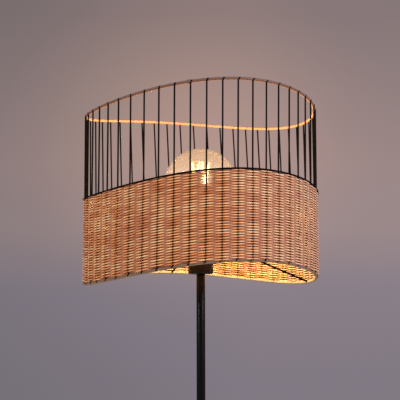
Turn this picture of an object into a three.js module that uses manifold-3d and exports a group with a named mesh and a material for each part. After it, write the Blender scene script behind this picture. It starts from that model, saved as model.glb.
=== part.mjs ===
// Rattan floor lamp: a round wire shade with waved rims, its lower half woven in rattan,
// on a slim steel pole with a weighted base.
// Millimetres, +Z up. The origin is the centre of the base's underside.
import * as THREE from "three";
import { mergeVertices } from "three/addons/utils/BufferGeometryUtils.js";
import Module from "manifold-3d";

const wasm = await Module();
wasm.setup();

// Fits shared by all pieces
const SEAT_GAP = 0.3;
const RUNNING_GAP = 0.5;
const CUT_OVERRUN = 2;

// Points closer than this become one when a geometry is turned into a solid
const MERGE_DISTANCE = 0.0001;

// Facet counts
const ROUND_SIDES = 18;
const BASE_SIDES = 36;
const GLOBE_SIDES = 24;
const SMALL_SIDES = 10;
const WIRE_SIDES = 5;
const CHANNEL_SIDES = 4;
const RIM_STEPS = 60;
const NUT_SIDES = 6;
const EDGE_STEPS = 3;
const WRAP_STEPS = 4;
const WRAP_CHANNEL_STEPS = 3;

// Base
const BASE_RADIUS = 140;
const BASE_HEIGHT = 26;
const BASE_EDGE_RADIUS = 7;
const BASE_FOOT_HEIGHT = 1.2;
const BASE_CROWN_RISE = 2.5;
const BASE_LAND_RADIUS = 18;
const COVER_WALL = 1.6;
const PAD_SETBACK = 3;
const PAD_HEIGHT = 3;
const WEIGHT_ROOF = 5.8;
const WEIGHT_RECESS_RADIUS = 16;
const BASE_WASHER_RADIUS = 13;
const BASE_WASHER_HEIGHT = 1.6;
const NUT_RADIUS = 8.6;
const NUT_HEIGHT = 4;

// Threaded tubes that hold the pole to the base and to the lampholder
const NIPPLE_RADIUS = 5;
const NIPPLE_BORE = 3.6;
const LOWER_NIPPLE_REACH = 14;
const TOP_NIPPLE_REACH = 18;
const NIPPLE_PROUD = 0.7;
const BUSH_HEIGHT = 14;
const BUSH_SETBACK = 3;

// Pole
const POLE_RADIUS = 7.5;
const POLE_WALL = 1.2;
const POLE_JOINT_HEIGHT = 640;
const JOINER_LENGTH = 50;
const COLLAR_WALL = 5.5;
const COLLAR_HEIGHT = 12;
const COLLAR_CHAMFER = 2;

// Lead inside the pole, and the gland where the outside cord would leave
const LEAD_RADIUS = 2.2;
const LEAD_HEIGHT = 7.5;
const LEAD_BEND_RADIUS = 6;
const LEAD_BEND_STEPS = 6;
const LEAD_TAIL = 3;
const LEAD_SETBACK = 2;
const GLAND_BODY_RADIUS = 4.2;
const GLAND_FLANGE_RADIUS = 5.8;
const GLAND_FLANGE_DEPTH = 3;

// Lampholder
const HOLDER_BOTTOM_HEIGHT = 1230;
const HOLDER_RADIUS = 21.5;
const HOLDER_WALL = 2;
const HOLDER_FLOOR = 3;
const HOLDER_EDGE_RADIUS = 2;
const CUP_HEIGHT = 34;
const SPIGOT_DEPTH = 6;
const SKIRT_SHOULDER_HEIGHT = 17.5;
const SKIRT_SHOULDER_LEDGE = 1.5;
const SKIRT_THREAD_HEIGHT = 13.5;
const SKIRT_LIP_GAP = 2;
const SKIRT_LIP_HEIGHT = 2;
const BLOCK_SKIRT_HEIGHT = 13;
const BLOCK_SKIRT_WALL = 3.2;
const BLOCK_DISC_HEIGHT = 10;
const SCREW_SHELL_WALL = 0.6;
const SCREW_SHELL_HEIGHT = 32;
const SCREW_SHELL_HOLE_RADIUS = 7;
const TONGUE_THICKNESS = 0.6;
const TONGUE_HEIGHT = 10.6;
const TONGUE_WIDTH = 4.5;
const TONGUE_FOOT_LENGTH = 3.5;
const TONGUE_TOP_LENGTH = 4;

// Fitter ring of the shade and the ring that clamps it
const FITTER_RADIUS = 27;
const FITTER_THICKNESS = 2.5;
const SHADE_RING_RADIUS = 29;
const SHADE_RING_NECK_RADIUS = 24;
const SHADE_RING_FLANGE = 2.5;
const SHADE_RING_HEIGHT = 8;

// Shade frame
const SHADE_RADIUS = 195;
const SHADE_RISE = 280;
const BAND_RISE = 140;
const RIM_WAVE = 13.6;
const WAVES = 2;
const LOW_POINT_DEGREES = 22;
const RIM_DROP = 1.5;
const RIM_LEAN = 3.5;
const HIGH_SIDE_DEGREES = 336;
const WIRE_RADIUS = 1.5;
const UPRIGHTS = 49;
const WELD_BITE = 0.8;
const ARMS = 4;
const FIRST_ARM_DEGREES = 16;
const ARM_END_GAP = 0.9;
const ARM_START_GAP = 0.8;
const ARM_NOTCH_GAP = 0.5;

// Uprights are set by hand, so they stand a little beside even places, and differently at each rim
const FIRST_UPRIGHT_DEGREES = 263;
const FOOT_TURN_DEGREES = -0.5;
const TOP_TURN_DEGREES = 1.2;
const BAND_SWAY_DEGREES = 2.4;
const TOP_SWAY_DEGREES = 1.4;
const SWAY_TOWARDS_DEGREES = 250;

// Rattan on the frame
const WRAP_RADIUS = 3.3;
const WEAVE_STRAND = 2;
const WEAVE_WAIST = 2.1;
const WEAVE_STEPS_PER_UPRIGHT = 2;

// Globe bulb
const GLOBE_RADIUS = 62.5;
const GLASS_WALL = 1.2;
const BULB_LENGTH = 175;
const GLOBE_NECK_RADIUS = 27;
const GLASS_NECK_DEPTH = 6;
const GLASS_SHOULDER_RADIUS = 18;
const GLASS_SHOULDER_RISE = 8;
const GLOBE_STEPS = 8;
const NECK_STEPS = 3;
const CAP_RADIUS = 13.2;
const CAP_WALL = 0.6;
const CAP_HEIGHT = 24;
const CAP_LIP_RADIUS = 10;
const CONTACT_RADIUS = 4.6;
const CONTACT_HEIGHT = 2.4;
const INSULATOR_RADIUS = 9.2;
const INSULATOR_HEIGHT = 6;
const STEM_FLARE_HEIGHT = 16;
const STEM_RADIUS = 3;
const STEM_RISE = 134;
const FILAMENTS = 4;
const FIRST_FILAMENT_DEGREES = 15;
const FILAMENT_RADIUS = 1;
const FILAMENT_FOOT_RING = 7;
const FILAMENT_HEAD_RING = 15;
const FILAMENT_RISE = 38;
const CROWN_WIRE_RADIUS = 0.6;
const CROWN_HUB_WALL = 1.2;
const CROWN_HUB_HEIGHT = 3;

// Radii and heights that follow from the sizes above
const landHeight = BASE_HEIGHT + BASE_CROWN_RISE;
const weightRadius = BASE_RADIUS - BASE_EDGE_RADIUS;
const padRadius = weightRadius - PAD_SETBACK;
const weightTop = BASE_HEIGHT - COVER_WALL - SEAT_GAP;
const recessRoof = weightTop - WEIGHT_ROOF;
const baseWasherTop = recessRoof - SEAT_GAP;
const baseNutTop = baseWasherTop - BASE_WASHER_HEIGHT - SEAT_GAP;
const poleBore = POLE_RADIUS - POLE_WALL;
const bushRadius = poleBore - SEAT_GAP;
const nippleHole = NIPPLE_RADIUS + SEAT_GAP;
const holderFloorTop = HOLDER_BOTTOM_HEIGHT + HOLDER_FLOOR;
const cupBore = HOLDER_RADIUS - HOLDER_WALL;
const cupTop = HOLDER_BOTTOM_HEIGHT + CUP_HEIGHT;
const skirtBottom = cupTop + SEAT_GAP;
const skirtShoulder = skirtBottom + SKIRT_SHOULDER_HEIGHT;
const skirtTop = skirtShoulder + SKIRT_THREAD_HEIGHT;
const skirtBore = cupBore - SEAT_GAP - HOLDER_WALL;
const skirtThreadRadius = HOLDER_RADIUS - SKIRT_SHOULDER_LEDGE;
const skirtLipRadius = CAP_RADIUS + SKIRT_LIP_GAP;
const blockBottom = holderFloorTop + SEAT_GAP;
const blockTop = blockBottom + BLOCK_SKIRT_HEIGHT + BLOCK_DISC_HEIGHT;
const tongueBottom = blockTop + SEAT_GAP;
const tongueTop = tongueBottom + TONGUE_HEIGHT;
const fitterBottom = skirtShoulder + SEAT_GAP;
const fitterTop = fitterBottom + FITTER_THICKNESS;
const fitterBore = skirtThreadRadius + RUNNING_GAP;
const rimHeight = HOLDER_BOTTOM_HEIGHT - RIM_DROP;
const bulbTip = tongueTop + SEAT_GAP;
const globeCentre = bulbTip + BULB_LENGTH - GLOBE_RADIUS;
const insulatorBottom = bulbTip + CONTACT_HEIGHT;
const capBottom = insulatorBottom + INSULATOR_HEIGHT / 2;
const capTop = capBottom + CAP_HEIGHT;
const glassBottom = capTop - GLASS_NECK_DEPTH;
const glassNeckRadius = CAP_RADIUS - CAP_WALL - SEAT_GAP;
const filamentTop = glassBottom + STEM_RISE - STEM_RADIUS - CROWN_HUB_HEIGHT;
const filamentBottom = filamentTop - FILAMENT_RISE;

// Materials
function finish(colour, roughness, metalness) {
  return new THREE.MeshStandardMaterial({ color: new THREE.Color(colour), roughness, metalness });
}
const blackSteel = finish("#1b1816", 0.5, 0.6);
const zincSteel = finish("#b8babd", 0.4, 1);
const castCement = finish("#8f8d88", 0.95, 0);
const blackRubber = finish("#161616", 0.9, 0);
const blackPlastic = finish("#1c1917", 0.45, 0);
const porcelain = finish("#ece8de", 0.3, 0);
const brass = finish("#c79a4b", 0.3, 1);
const capMetal = finish("#c9c9c6", 0.3, 1);
const clearGlass = finish("#f3d9a8", 0.05, 0);
const blackGlass = finish("#241d2b", 0.15, 0);
const filamentGlow = finish("#ffcf73", 0.4, 0);
const rattanCane = finish("#c07a45", 0.65, 0);
const rattanBinding = finish("#8d6a4a", 0.7, 0);
const paleBinding = finish("#d09a45", 0.65, 0);

// Signed volume of a closed triangle mesh: negative where it faces inwards
function signedVolume(positions, triangles) {
  let total = 0;
  const corner = [new THREE.Vector3(), new THREE.Vector3(), new THREE.Vector3()];
  for (let start = 0; start < triangles.length; start += 3) {
    corner.forEach((point, side) => point.fromArray(positions, 3 * triangles[start + side]));
    total += corner[0].dot(corner[1].clone().cross(corner[2]));
  }
  return total;
}

// Turns a closed geometry into a manifold solid with merged vertices and outward faces
function toSolid(geometry) {
  const bare = geometry.clone();
  bare.deleteAttribute("normal");
  bare.deleteAttribute("uv");
  const merged = mergeVertices(bare, MERGE_DISTANCE);
  const positions = merged.attributes.position.array;
  const index = merged.index.array;
  const triangles = [];
  for (let start = 0; start < index.length; start += 3) {
    const [a, b, c] = [index[start], index[start + 1], index[start + 2]];
    if (a !== b && b !== c && c !== a) {
      triangles.push(a, b, c);
    }
  }
  if (signedVolume(positions, triangles) < 0) {
    triangles.reverse();
  }
  const mesh = new wasm.Mesh({
    numProp: 3,
    vertProperties: new Float32Array(positions),
    triVerts: new Uint32Array(triangles),
  });
  return new wasm.Manifold(mesh);
}

function toGeometry(solid) {
  const mesh = solid.getMesh();
  const geometry = new THREE.BufferGeometry();
  geometry.setAttribute("position", new THREE.BufferAttribute(mesh.vertProperties, mesh.numProp));
  geometry.setIndex(new THREE.BufferAttribute(mesh.triVerts, 1));
  geometry.computeVertexNormals();
  return geometry;
}

// Revolves a profile of [radius, height] pairs about Z. It closes on itself or on the axis.
function turned(profile, sides = ROUND_SIDES) {
  const points = profile.map(([radius, height]) => new THREE.Vector2(radius, height));
  const startsOnAxis = points[0].x === 0 && points[points.length - 1].x === 0;
  if (!startsOnAxis) {
    points.push(points[0].clone());
  }
  const lathe = new THREE.LatheGeometry(points, sides);
  lathe.rotateX(Math.PI / 2);
  return toSolid(lathe);
}

function tube(outerRadius, boreRadius, bottom, top, sides = ROUND_SIDES) {
  return turned([[boreRadius, bottom], [outerRadius, bottom], [outerRadius, top], [boreRadius, top]], sides);
}

function disc(radius, bottom, top, sides = ROUND_SIDES) {
  return turned([[0, bottom], [radius, bottom], [radius, top], [0, top]], sides);
}

// A quarter round of [radius, height] pairs about a centre, between two angles in degrees
function arcPoints(centreRadius, centreHeight, radius, fromDegrees, toDegrees, steps) {
  const points = [];
  for (let step = 0; step <= steps; step += 1) {
    const angle = THREE.MathUtils.degToRad(fromDegrees + (toDegrees - fromDegrees) * (step / steps));
    points.push([centreRadius + radius * Math.cos(angle), centreHeight + radius * Math.sin(angle)]);
  }
  return points;
}

// A straight round rod between two points
function rod(from, to, radius, sides = WIRE_SIDES) {
  const along = new THREE.Vector3().subVectors(to, from);
  const cylinder = new THREE.CylinderGeometry(radius, radius, along.length(), sides);
  const upright = new THREE.Vector3(0, 1, 0);
  const turn = new THREE.Quaternion().setFromUnitVectors(upright, along.clone().normalize());
  cylinder.applyQuaternion(turn);
  const middle = new THREE.Vector3().addVectors(from, to).multiplyScalar(0.5);
  cylinder.translate(middle.x, middle.y, middle.z);
  return toSolid(cylinder);
}

function polar(radius, angle, height) {
  return new THREE.Vector3(radius * Math.cos(angle), radius * Math.sin(angle), height);
}

function evenAngle(step, steps) {
  return (2 * Math.PI * step) / steps;
}

// A ring about Z whose section, counter-clockwise [radius, height] pairs, may change with the angle
function ringOfSections(steps, sectionAt, angleAt = evenAngle) {
  const positions = [];
  const triangles = [];
  let count = 0;
  for (let step = 0; step < steps; step += 1) {
    const angle = angleAt(step, steps);
    const section = sectionAt(angle, step);
    count = section.length;
    section.forEach(([radius, height]) => positions.push(...polar(radius, angle, height).toArray()));
  }
  for (let step = 0; step < steps; step += 1) {
    const next = (step + 1) % steps;
    for (let point = 0; point < count; point += 1) {
      const after = (point + 1) % count;
      const [a, b] = [step * count + point, step * count + after];
      const [d, c] = [next * count + point, next * count + after];
      triangles.push(a, d, b, b, d, c);
    }
  }
  const geometry = new THREE.BufferGeometry();
  geometry.setAttribute("position", new THREE.Float32BufferAttribute(positions, 3));
  geometry.setIndex(triangles);
  return toSolid(geometry);
}

// A tube of even width along a path that lies in the plane square to a direction
function bentTube(path, radius, sides, across) {
  const positions = [];
  const triangles = [];
  path.forEach((point, index) => {
    const before = path[Math.max(index - 1, 0)];
    const after = path[Math.min(index + 1, path.length - 1)];
    const along = new THREE.Vector3().subVectors(after, before).normalize();
    const beside = new THREE.Vector3().crossVectors(along, across);
    for (let side = 0; side < sides; side += 1) {
      const angle = (2 * Math.PI * side) / sides;
      const offset = across.clone().multiplyScalar(radius * Math.cos(angle));
      offset.addScaledVector(beside, radius * Math.sin(angle));
      positions.push(...offset.add(point).toArray());
    }
  });
  for (let ring = 0; ring + 1 < path.length; ring += 1) {
    for (let side = 0; side < sides; side += 1) {
      const after = (side + 1) % sides;
      const [a, b] = [ring * sides + side, ring * sides + after];
      const [d, c] = [a + sides, b + sides];
      triangles.push(a, b, d, b, c, d);
    }
  }
  const last = (path.length - 1) * sides;
  for (let side = 1; side + 1 < sides; side += 1) {
    triangles.push(0, side + 1, side, last, last + side, last + side + 1);
  }
  const geometry = new THREE.BufferGeometry();
  geometry.setAttribute("position", new THREE.Float32BufferAttribute(positions, 3));
  geometry.setIndex(triangles);
  return toSolid(geometry);
}

// Base
function makePad() {
  return disc(padRadius, 0, PAD_HEIGHT, BASE_SIDES);
}

// Cement disc with a recess for the nut and a groove for the lead in its underside
function makeWeight() {
  const bottom = PAD_HEIGHT;
  const blank = tube(weightRadius, nippleHole, bottom, weightTop, BASE_SIDES);
  const recess = disc(WEIGHT_RECESS_RADIUS, bottom - CUT_OVERRUN, recessRoof);
  const grooveHalfWidth = LEAD_RADIUS + SEAT_GAP;
  const grooveTop = LEAD_HEIGHT + LEAD_RADIUS + SEAT_GAP;
  const grooveLength = weightRadius + CUT_OVERRUN;
  const grooveDepth = grooveTop - bottom + CUT_OVERRUN;
  const grooveBox = new THREE.BoxGeometry(2 * grooveHalfWidth, grooveLength, grooveDepth);
  grooveBox.translate(0, grooveLength / 2, grooveTop - grooveDepth / 2);
  return blank.subtract(recess).subtract(toSolid(grooveBox));
}

// Pressed steel cover: rounded edge outside, crowned top with a flat land for the pole
function makeCover() {
  const innerRadius = BASE_RADIUS - COVER_WALL;
  const innerEdge = BASE_EDGE_RADIUS - COVER_WALL;
  const edgeCentre = BASE_RADIUS - BASE_EDGE_RADIUS;
  const edgeHeight = BASE_HEIGHT - BASE_EDGE_RADIUS;
  const innerLandRadius = BASE_LAND_RADIUS - COVER_WALL;
  const profile = [
    [innerRadius, BASE_FOOT_HEIGHT],
    [BASE_RADIUS, BASE_FOOT_HEIGHT],
    ...arcPoints(edgeCentre, edgeHeight, BASE_EDGE_RADIUS, 0, 90, EDGE_STEPS),
    [BASE_LAND_RADIUS, landHeight],
    [nippleHole, landHeight],
    [nippleHole, landHeight - COVER_WALL],
    [innerLandRadius, landHeight - COVER_WALL],
    ...arcPoints(edgeCentre, edgeHeight, innerEdge, 90, 0, EDGE_STEPS),
  ];
  const glandHole = rod(
    new THREE.Vector3(0, innerRadius - CUT_OVERRUN, LEAD_HEIGHT),
    new THREE.Vector3(0, BASE_RADIUS + CUT_OVERRUN, LEAD_HEIGHT),
    GLAND_BODY_RADIUS + SEAT_GAP,
    SMALL_SIDES,
  );
  return turned(profile, BASE_SIDES).subtract(glandHole);
}

// Gland: a flanged bush through the cover's back wall
function makeGland() {
  const bore = LEAD_RADIUS + SEAT_GAP;
  const bodyEnd = -COVER_WALL - GLAND_FLANGE_DEPTH;
  const bush = turned([
    [bore, bodyEnd],
    [GLAND_BODY_RADIUS, bodyEnd],
    [GLAND_BODY_RADIUS, SEAT_GAP],
    [GLAND_FLANGE_RADIUS, SEAT_GAP],
    [GLAND_FLANGE_RADIUS, GLAND_FLANGE_DEPTH / 2],
    [GLAND_BODY_RADIUS, GLAND_FLANGE_DEPTH],
    [bore, GLAND_FLANGE_DEPTH],
  ], SMALL_SIDES);
  return bush.rotate([-90, 0, 0]).translate([0, BASE_RADIUS, LEAD_HEIGHT]);
}

// Hexagon nut with a round bore
function makeNut(top) {
  const bottom = top - NUT_HEIGHT;
  const bore = disc(nippleHole, bottom - CUT_OVERRUN, top + CUT_OVERRUN, SMALL_SIDES);
  return disc(NUT_RADIUS, bottom, top, NUT_SIDES).subtract(bore);
}

// Lead from the gland, under the weight, up through the pole into the lampholder
function makeLead() {
  const bend = LEAD_BEND_RADIUS;
  const gland = BASE_RADIUS - LEAD_SETBACK;
  const path = [new THREE.Vector3(0, gland, LEAD_HEIGHT)];
  for (let step = 0; step <= LEAD_BEND_STEPS; step += 1) {
    const angle = (Math.PI / 2) * (step / LEAD_BEND_STEPS);
    const away = bend - bend * Math.sin(angle);
    path.push(new THREE.Vector3(0, away, LEAD_HEIGHT + bend - bend * Math.cos(angle)));
  }
  path.push(new THREE.Vector3(0, 0, blockBottom + BLOCK_SKIRT_HEIGHT - LEAD_TAIL));
  return bentTube(path, LEAD_RADIUS, WIRE_SIDES * 2, new THREE.Vector3(1, 0, 0));
}

// Pole
function makeCollar() {
  const bore = POLE_RADIUS + SEAT_GAP;
  const outer = bore + COLLAR_WALL;
  const top = landHeight + COLLAR_HEIGHT;
  return turned([
    [bore, landHeight],
    [outer, landHeight],
    [outer, top - COLLAR_CHAMFER],
    [outer - COLLAR_CHAMFER, top],
    [bore, top],
  ]);
}

// Lampholder
function makeCup() {
  const edge = HOLDER_EDGE_RADIUS;
  const edgeHeight = HOLDER_BOTTOM_HEIGHT + edge;
  return turned([
    [nippleHole, HOLDER_BOTTOM_HEIGHT],
    ...arcPoints(HOLDER_RADIUS - edge, edgeHeight, edge, -90, 0, EDGE_STEPS),
    [HOLDER_RADIUS, cupTop],
    [cupBore, cupTop],
    [cupBore, holderFloorTop],
    [nippleHole, holderFloorTop],
  ]);
}

function makeSkirt() {
  return turned([
    [skirtBore, skirtBottom - SPIGOT_DEPTH],
    [cupBore - SEAT_GAP, skirtBottom - SPIGOT_DEPTH],
    [cupBore - SEAT_GAP, skirtBottom],
    [HOLDER_RADIUS, skirtBottom],
    [HOLDER_RADIUS, skirtShoulder],
    [skirtThreadRadius, skirtShoulder],
    [skirtThreadRadius, skirtTop],
    [skirtLipRadius, skirtTop],
    [skirtLipRadius, skirtTop - SKIRT_LIP_HEIGHT],
    [skirtBore, skirtTop - SKIRT_LIP_HEIGHT],
  ]);
}

// Porcelain insert that stands on the cup's floor, hollow below for the terminals
function makeContactBlock() {
  const outer = skirtBore - SEAT_GAP;
  const discBottom = blockBottom + BLOCK_SKIRT_HEIGHT;
  return turned([
    [0, discBottom],
    [outer - BLOCK_SKIRT_WALL, discBottom],
    [outer - BLOCK_SKIRT_WALL, blockBottom],
    [outer, blockBottom],
    [outer, blockTop],
    [0, blockTop],
  ]);
}

function makeScrewShell() {
  const bore = CAP_RADIUS + RUNNING_GAP;
  const outer = bore + SCREW_SHELL_WALL;
  const bottom = blockTop + SEAT_GAP;
  const top = bottom + SCREW_SHELL_HEIGHT;
  return turned([
    [SCREW_SHELL_HOLE_RADIUS, bottom],
    [outer, bottom],
    [outer, top],
    [bore, top],
    [bore, bottom + SCREW_SHELL_WALL],
    [SCREW_SHELL_HOLE_RADIUS, bottom + SCREW_SHELL_WALL],
  ]);
}

// Spring tongue under the bulb's tip: a strip folded into a Z
function makeCentreContact() {
  const reach = TONGUE_FOOT_LENGTH;
  const strip = TONGUE_THICKNESS;
  const outline = new THREE.Shape([
    new THREE.Vector2(-reach, tongueBottom),
    new THREE.Vector2(reach, tongueBottom),
    new THREE.Vector2(reach, tongueBottom + strip),
    new THREE.Vector2(-reach + strip + strip, tongueBottom + strip),
    new THREE.Vector2(strip - TONGUE_TOP_LENGTH / 2, tongueTop - strip),
    new THREE.Vector2(TONGUE_TOP_LENGTH, tongueTop - strip),
    new THREE.Vector2(TONGUE_TOP_LENGTH, tongueTop),
    new THREE.Vector2(-TONGUE_TOP_LENGTH / 2, tongueTop),
    new THREE.Vector2(-reach, tongueBottom + strip),
  ]);
  const extrusion = new THREE.ExtrudeGeometry(outline, { depth: TONGUE_WIDTH, bevelEnabled: false });
  extrusion.rotateX(Math.PI / 2);
  extrusion.translate(0, TONGUE_WIDTH / 2, 0);
  return toSolid(extrusion);
}

function makeShadeRing() {
  const bottom = fitterTop + SEAT_GAP;
  const bore = skirtThreadRadius + RUNNING_GAP;
  return turned([
    [bore, bottom],
    [SHADE_RING_RADIUS, bottom],
    [SHADE_RING_RADIUS, bottom + SHADE_RING_FLANGE],
    [SHADE_RING_NECK_RADIUS, bottom + SHADE_RING_FLANGE],
    [SHADE_RING_NECK_RADIUS, bottom + SHADE_RING_HEIGHT],
    [bore, bottom + SHADE_RING_HEIGHT],
  ]);
}

// Height of the bottom rim's wire at an angle: it rises and falls in even waves and leans to one side
function rimHeightAt(angle) {
  const wave = -RIM_WAVE * Math.cos(WAVES * (angle - THREE.MathUtils.degToRad(LOW_POINT_DEGREES)));
  const lean = RIM_LEAN * Math.cos(angle - THREE.MathUtils.degToRad(HIGH_SIDE_DEGREES));
  return rimHeight + wave + lean;
}

function circleSection(centreRadius, centreHeight, radius, sides) {
  const points = [];
  for (let side = 0; side < sides; side += 1) {
    const angle = (2 * Math.PI * side) / sides;
    points.push([centreRadius + radius * Math.cos(angle), centreHeight + radius * Math.sin(angle)]);
  }
  return points;
}

// A wire ring that follows the waved rim, at a rise above the bottom rim
function makeRimWire(ringRadius, rise) {
  return ringOfSections(RIM_STEPS, (angle) => (
    circleSection(ringRadius, rimHeightAt(angle) + rise, WIRE_RADIUS, WIRE_SIDES)
  ));
}

// Rattan bound round a rim wire, with a slot on the side where the uprights come in.
// Its channel's flats clear the wire by the seat gap.
function makeRimWrap(rise, slotUp) {
  const channel = (WIRE_RADIUS + SEAT_GAP) / Math.cos(Math.PI / (2 * WRAP_CHANNEL_STEPS));
  const lipDegrees = THREE.MathUtils.radToDeg(Math.acos(channel / WRAP_RADIUS));
  const outer = arcPoints(0, 0, WRAP_RADIUS, 180 - lipDegrees, 360 + lipDegrees, WRAP_STEPS);
  const inner = arcPoints(0, 0, channel, 0, -180, WRAP_CHANNEL_STEPS);
  const lowSlot = [...outer, ...inner];
  const section = slotUp ? lowSlot : lowSlot.map(([x, y]) => [x, -y]).reverse();
  return ringOfSections(RIM_STEPS, (angle) => (
    section.map(([x, y]) => [SHADE_RADIUS + x, rimHeightAt(angle) + rise + y])
  ));
}

// Azimuth of an upright at a rise: straight from its foot to the band ring, and from there to its top
function uprightAngle(index, rise) {
  const even = FIRST_UPRIGHT_DEGREES + (360 * index) / UPRIGHTS;
  const below = Math.max(0, BAND_RISE - rise) / BAND_RISE;
  const above = Math.max(0, rise - BAND_RISE) / (SHADE_RISE - BAND_RISE);
  const turn = FOOT_TURN_DEGREES * below + TOP_TURN_DEGREES * above;
  const sway = BAND_SWAY_DEGREES + (TOP_SWAY_DEGREES - BAND_SWAY_DEGREES) * above;
  const towards = Math.cos(THREE.MathUtils.degToRad(even - SWAY_TOWARDS_DEGREES));
  return THREE.MathUtils.degToRad(even + turn + sway * towards);
}

// A rod that follows an upright through a list of rises
function alongUpright(index, rises, radius, sides) {
  const path = rises.map((rise) => {
    const angle = uprightAngle(index, rise);
    return polar(SHADE_RADIUS, angle, rimHeightAt(angle) + rise);
  });
  return bentTube(path, radius, sides, polar(1, uprightAngle(index, BAND_RISE), 0));
}

// The welded cage: uprights between the rims, and the band ring on their outer side
function makeCage() {
  const bandRadius = SHADE_RADIUS + 2 * WIRE_RADIUS - WELD_BITE;
  const endGap = WIRE_RADIUS + SEAT_GAP;
  const rises = [endGap, BAND_RISE, SHADE_RISE - endGap];
  const uprights = [];
  for (let index = 0; index < UPRIGHTS; index += 1) {
    uprights.push(alongUpright(index, rises, WIRE_RADIUS, WIRE_SIDES));
  }
  return wasm.Manifold.union([makeRimWire(bandRadius, BAND_RISE), ...uprights]);
}

// The woven band: thickest where the strands pass the uprights, waisted between them,
// with a channel for each upright
function makeWeave() {
  const fullHalf = WIRE_RADIUS + WEAVE_STRAND;
  const steps = UPRIGHTS * WEAVE_STEPS_PER_UPRIGHT;
  const uprightAt = (step) => uprightAngle(step / WEAVE_STEPS_PER_UPRIGHT, BAND_RISE / 2);
  const wall = ringOfSections(steps, (angle, step) => {
    const half = step % WEAVE_STEPS_PER_UPRIGHT === 0 ? fullHalf : WEAVE_WAIST;
    const bottom = rimHeightAt(angle) + WRAP_RADIUS;
    const top = rimHeightAt(angle) + BAND_RISE - WIRE_RADIUS - SEAT_GAP;
    const [inner, outer] = [SHADE_RADIUS - half, SHADE_RADIUS + half];
    return [[inner, bottom], [outer, bottom], [outer, top], [inner, top]];
  }, uprightAt);
  const channelRadius = (WIRE_RADIUS + SEAT_GAP) / Math.cos(Math.PI / CHANNEL_SIDES);
  const channelRises = [-CUT_OVERRUN, BAND_RISE, BAND_RISE + CUT_OVERRUN];
  const channels = [];
  for (let index = 0; index < UPRIGHTS; index += 1) {
    channels.push(alongUpright(index, channelRises, channelRadius, CHANNEL_SIDES));
  }
  return wall.subtract(wasm.Manifold.union(channels));
}

function armAngle(index) {
  return THREE.MathUtils.degToRad(FIRST_ARM_DEGREES) + (2 * Math.PI * index) / ARMS;
}

// A spider arm's axis runs from the fitter ring's edge to the middle of the bottom rim's wire
function armEnds(index, startGap, endGap) {
  const angle = armAngle(index);
  const hub = polar(FITTER_RADIUS, angle, (fitterBottom + fitterTop) / 2);
  const rim = polar(SHADE_RADIUS, angle, rimHeightAt(angle));
  const along = new THREE.Vector3().subVectors(rim, hub).normalize();
  return {
    start: hub.addScaledVector(along, startGap),
    end: rim.addScaledVector(along, -endGap),
  };
}

function makeArm(index) {
  const { start, end } = armEnds(index, ARM_START_GAP, WIRE_RADIUS + ARM_END_GAP);
  return rod(start, end, WIRE_RADIUS, WIRE_SIDES * 2);
}

// The bottom wrap leaves a notch in its inner side for each arm
function makeBottomWrap() {
  let wrap = makeRimWrap(0, true);
  for (let index = 0; index < ARMS; index += 1) {
    const { start, end } = armEnds(index, 0, WIRE_RADIUS);
    wrap = wrap.subtract(rod(start, end, WIRE_RADIUS + ARM_NOTCH_GAP, WIRE_SIDES * 2));
  }
  return wrap;
}

// Bulb: outer wall of the globe from its top down to the neck, as [radius, height] pairs
function globeProfile(wallInset) {
  const radius = GLOBE_RADIUS - wallInset;
  const neck = GLOBE_NECK_RADIUS - wallInset;
  const neckDegrees = THREE.MathUtils.radToDeg(Math.acos(neck / radius));
  const globe = arcPoints(0, globeCentre, radius, 90, -neckDegrees, GLOBE_STEPS);
  globe[0][0] = 0;
  const globeEnd = new THREE.Vector2(...globe[globe.length - 1]);
  const shoulder = new THREE.Vector2(GLASS_SHOULDER_RADIUS - wallInset, capTop + GLASS_SHOULDER_RISE);
  const neckTop = new THREE.Vector2(glassNeckRadius - wallInset, capTop);
  const flow = new THREE.QuadraticBezierCurve(globeEnd, shoulder, neckTop);
  const neckPoints = flow.getPoints(NECK_STEPS).slice(1).map((point) => [point.x, point.y]);
  return [...globe, ...neckPoints, [glassNeckRadius - wallInset, glassBottom]];
}

function makeGlass() {
  return turned([...globeProfile(0), ...globeProfile(GLASS_WALL).reverse()], GLOBE_SIDES);
}

function makeCap() {
  return turned([
    [CAP_LIP_RADIUS, capBottom],
    [CAP_RADIUS, capBottom + CAP_WALL + CAP_WALL],
    [CAP_RADIUS, capTop],
    [CAP_RADIUS - CAP_WALL, capTop],
    [CAP_RADIUS - CAP_WALL, capBottom + CAP_WALL + CAP_WALL + CAP_WALL],
    [CAP_LIP_RADIUS, capBottom + CAP_WALL + CAP_WALL],
  ]);
}

// Black glass seat at the end of the cap, with a shoulder inside the cap's lip
function makeInsulator() {
  const neck = CAP_LIP_RADIUS - SEAT_GAP;
  const bottom = insulatorBottom;
  const top = bottom + INSULATOR_HEIGHT;
  return turned([
    [0, bottom],
    [CONTACT_RADIUS, bottom],
    [INSULATOR_RADIUS, capBottom - SEAT_GAP],
    [neck, capBottom],
    [neck, top],
    [0, top],
  ]);
}

function makeContact() {
  return turned([
    [0, bulbTip],
    [CONTACT_RADIUS / 2, bulbTip],
    [CONTACT_RADIUS, bulbTip + CONTACT_HEIGHT / 2],
    [CONTACT_RADIUS, bulbTip + CONTACT_HEIGHT],
    [0, bulbTip + CONTACT_HEIGHT],
  ], SMALL_SIDES);
}

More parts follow.
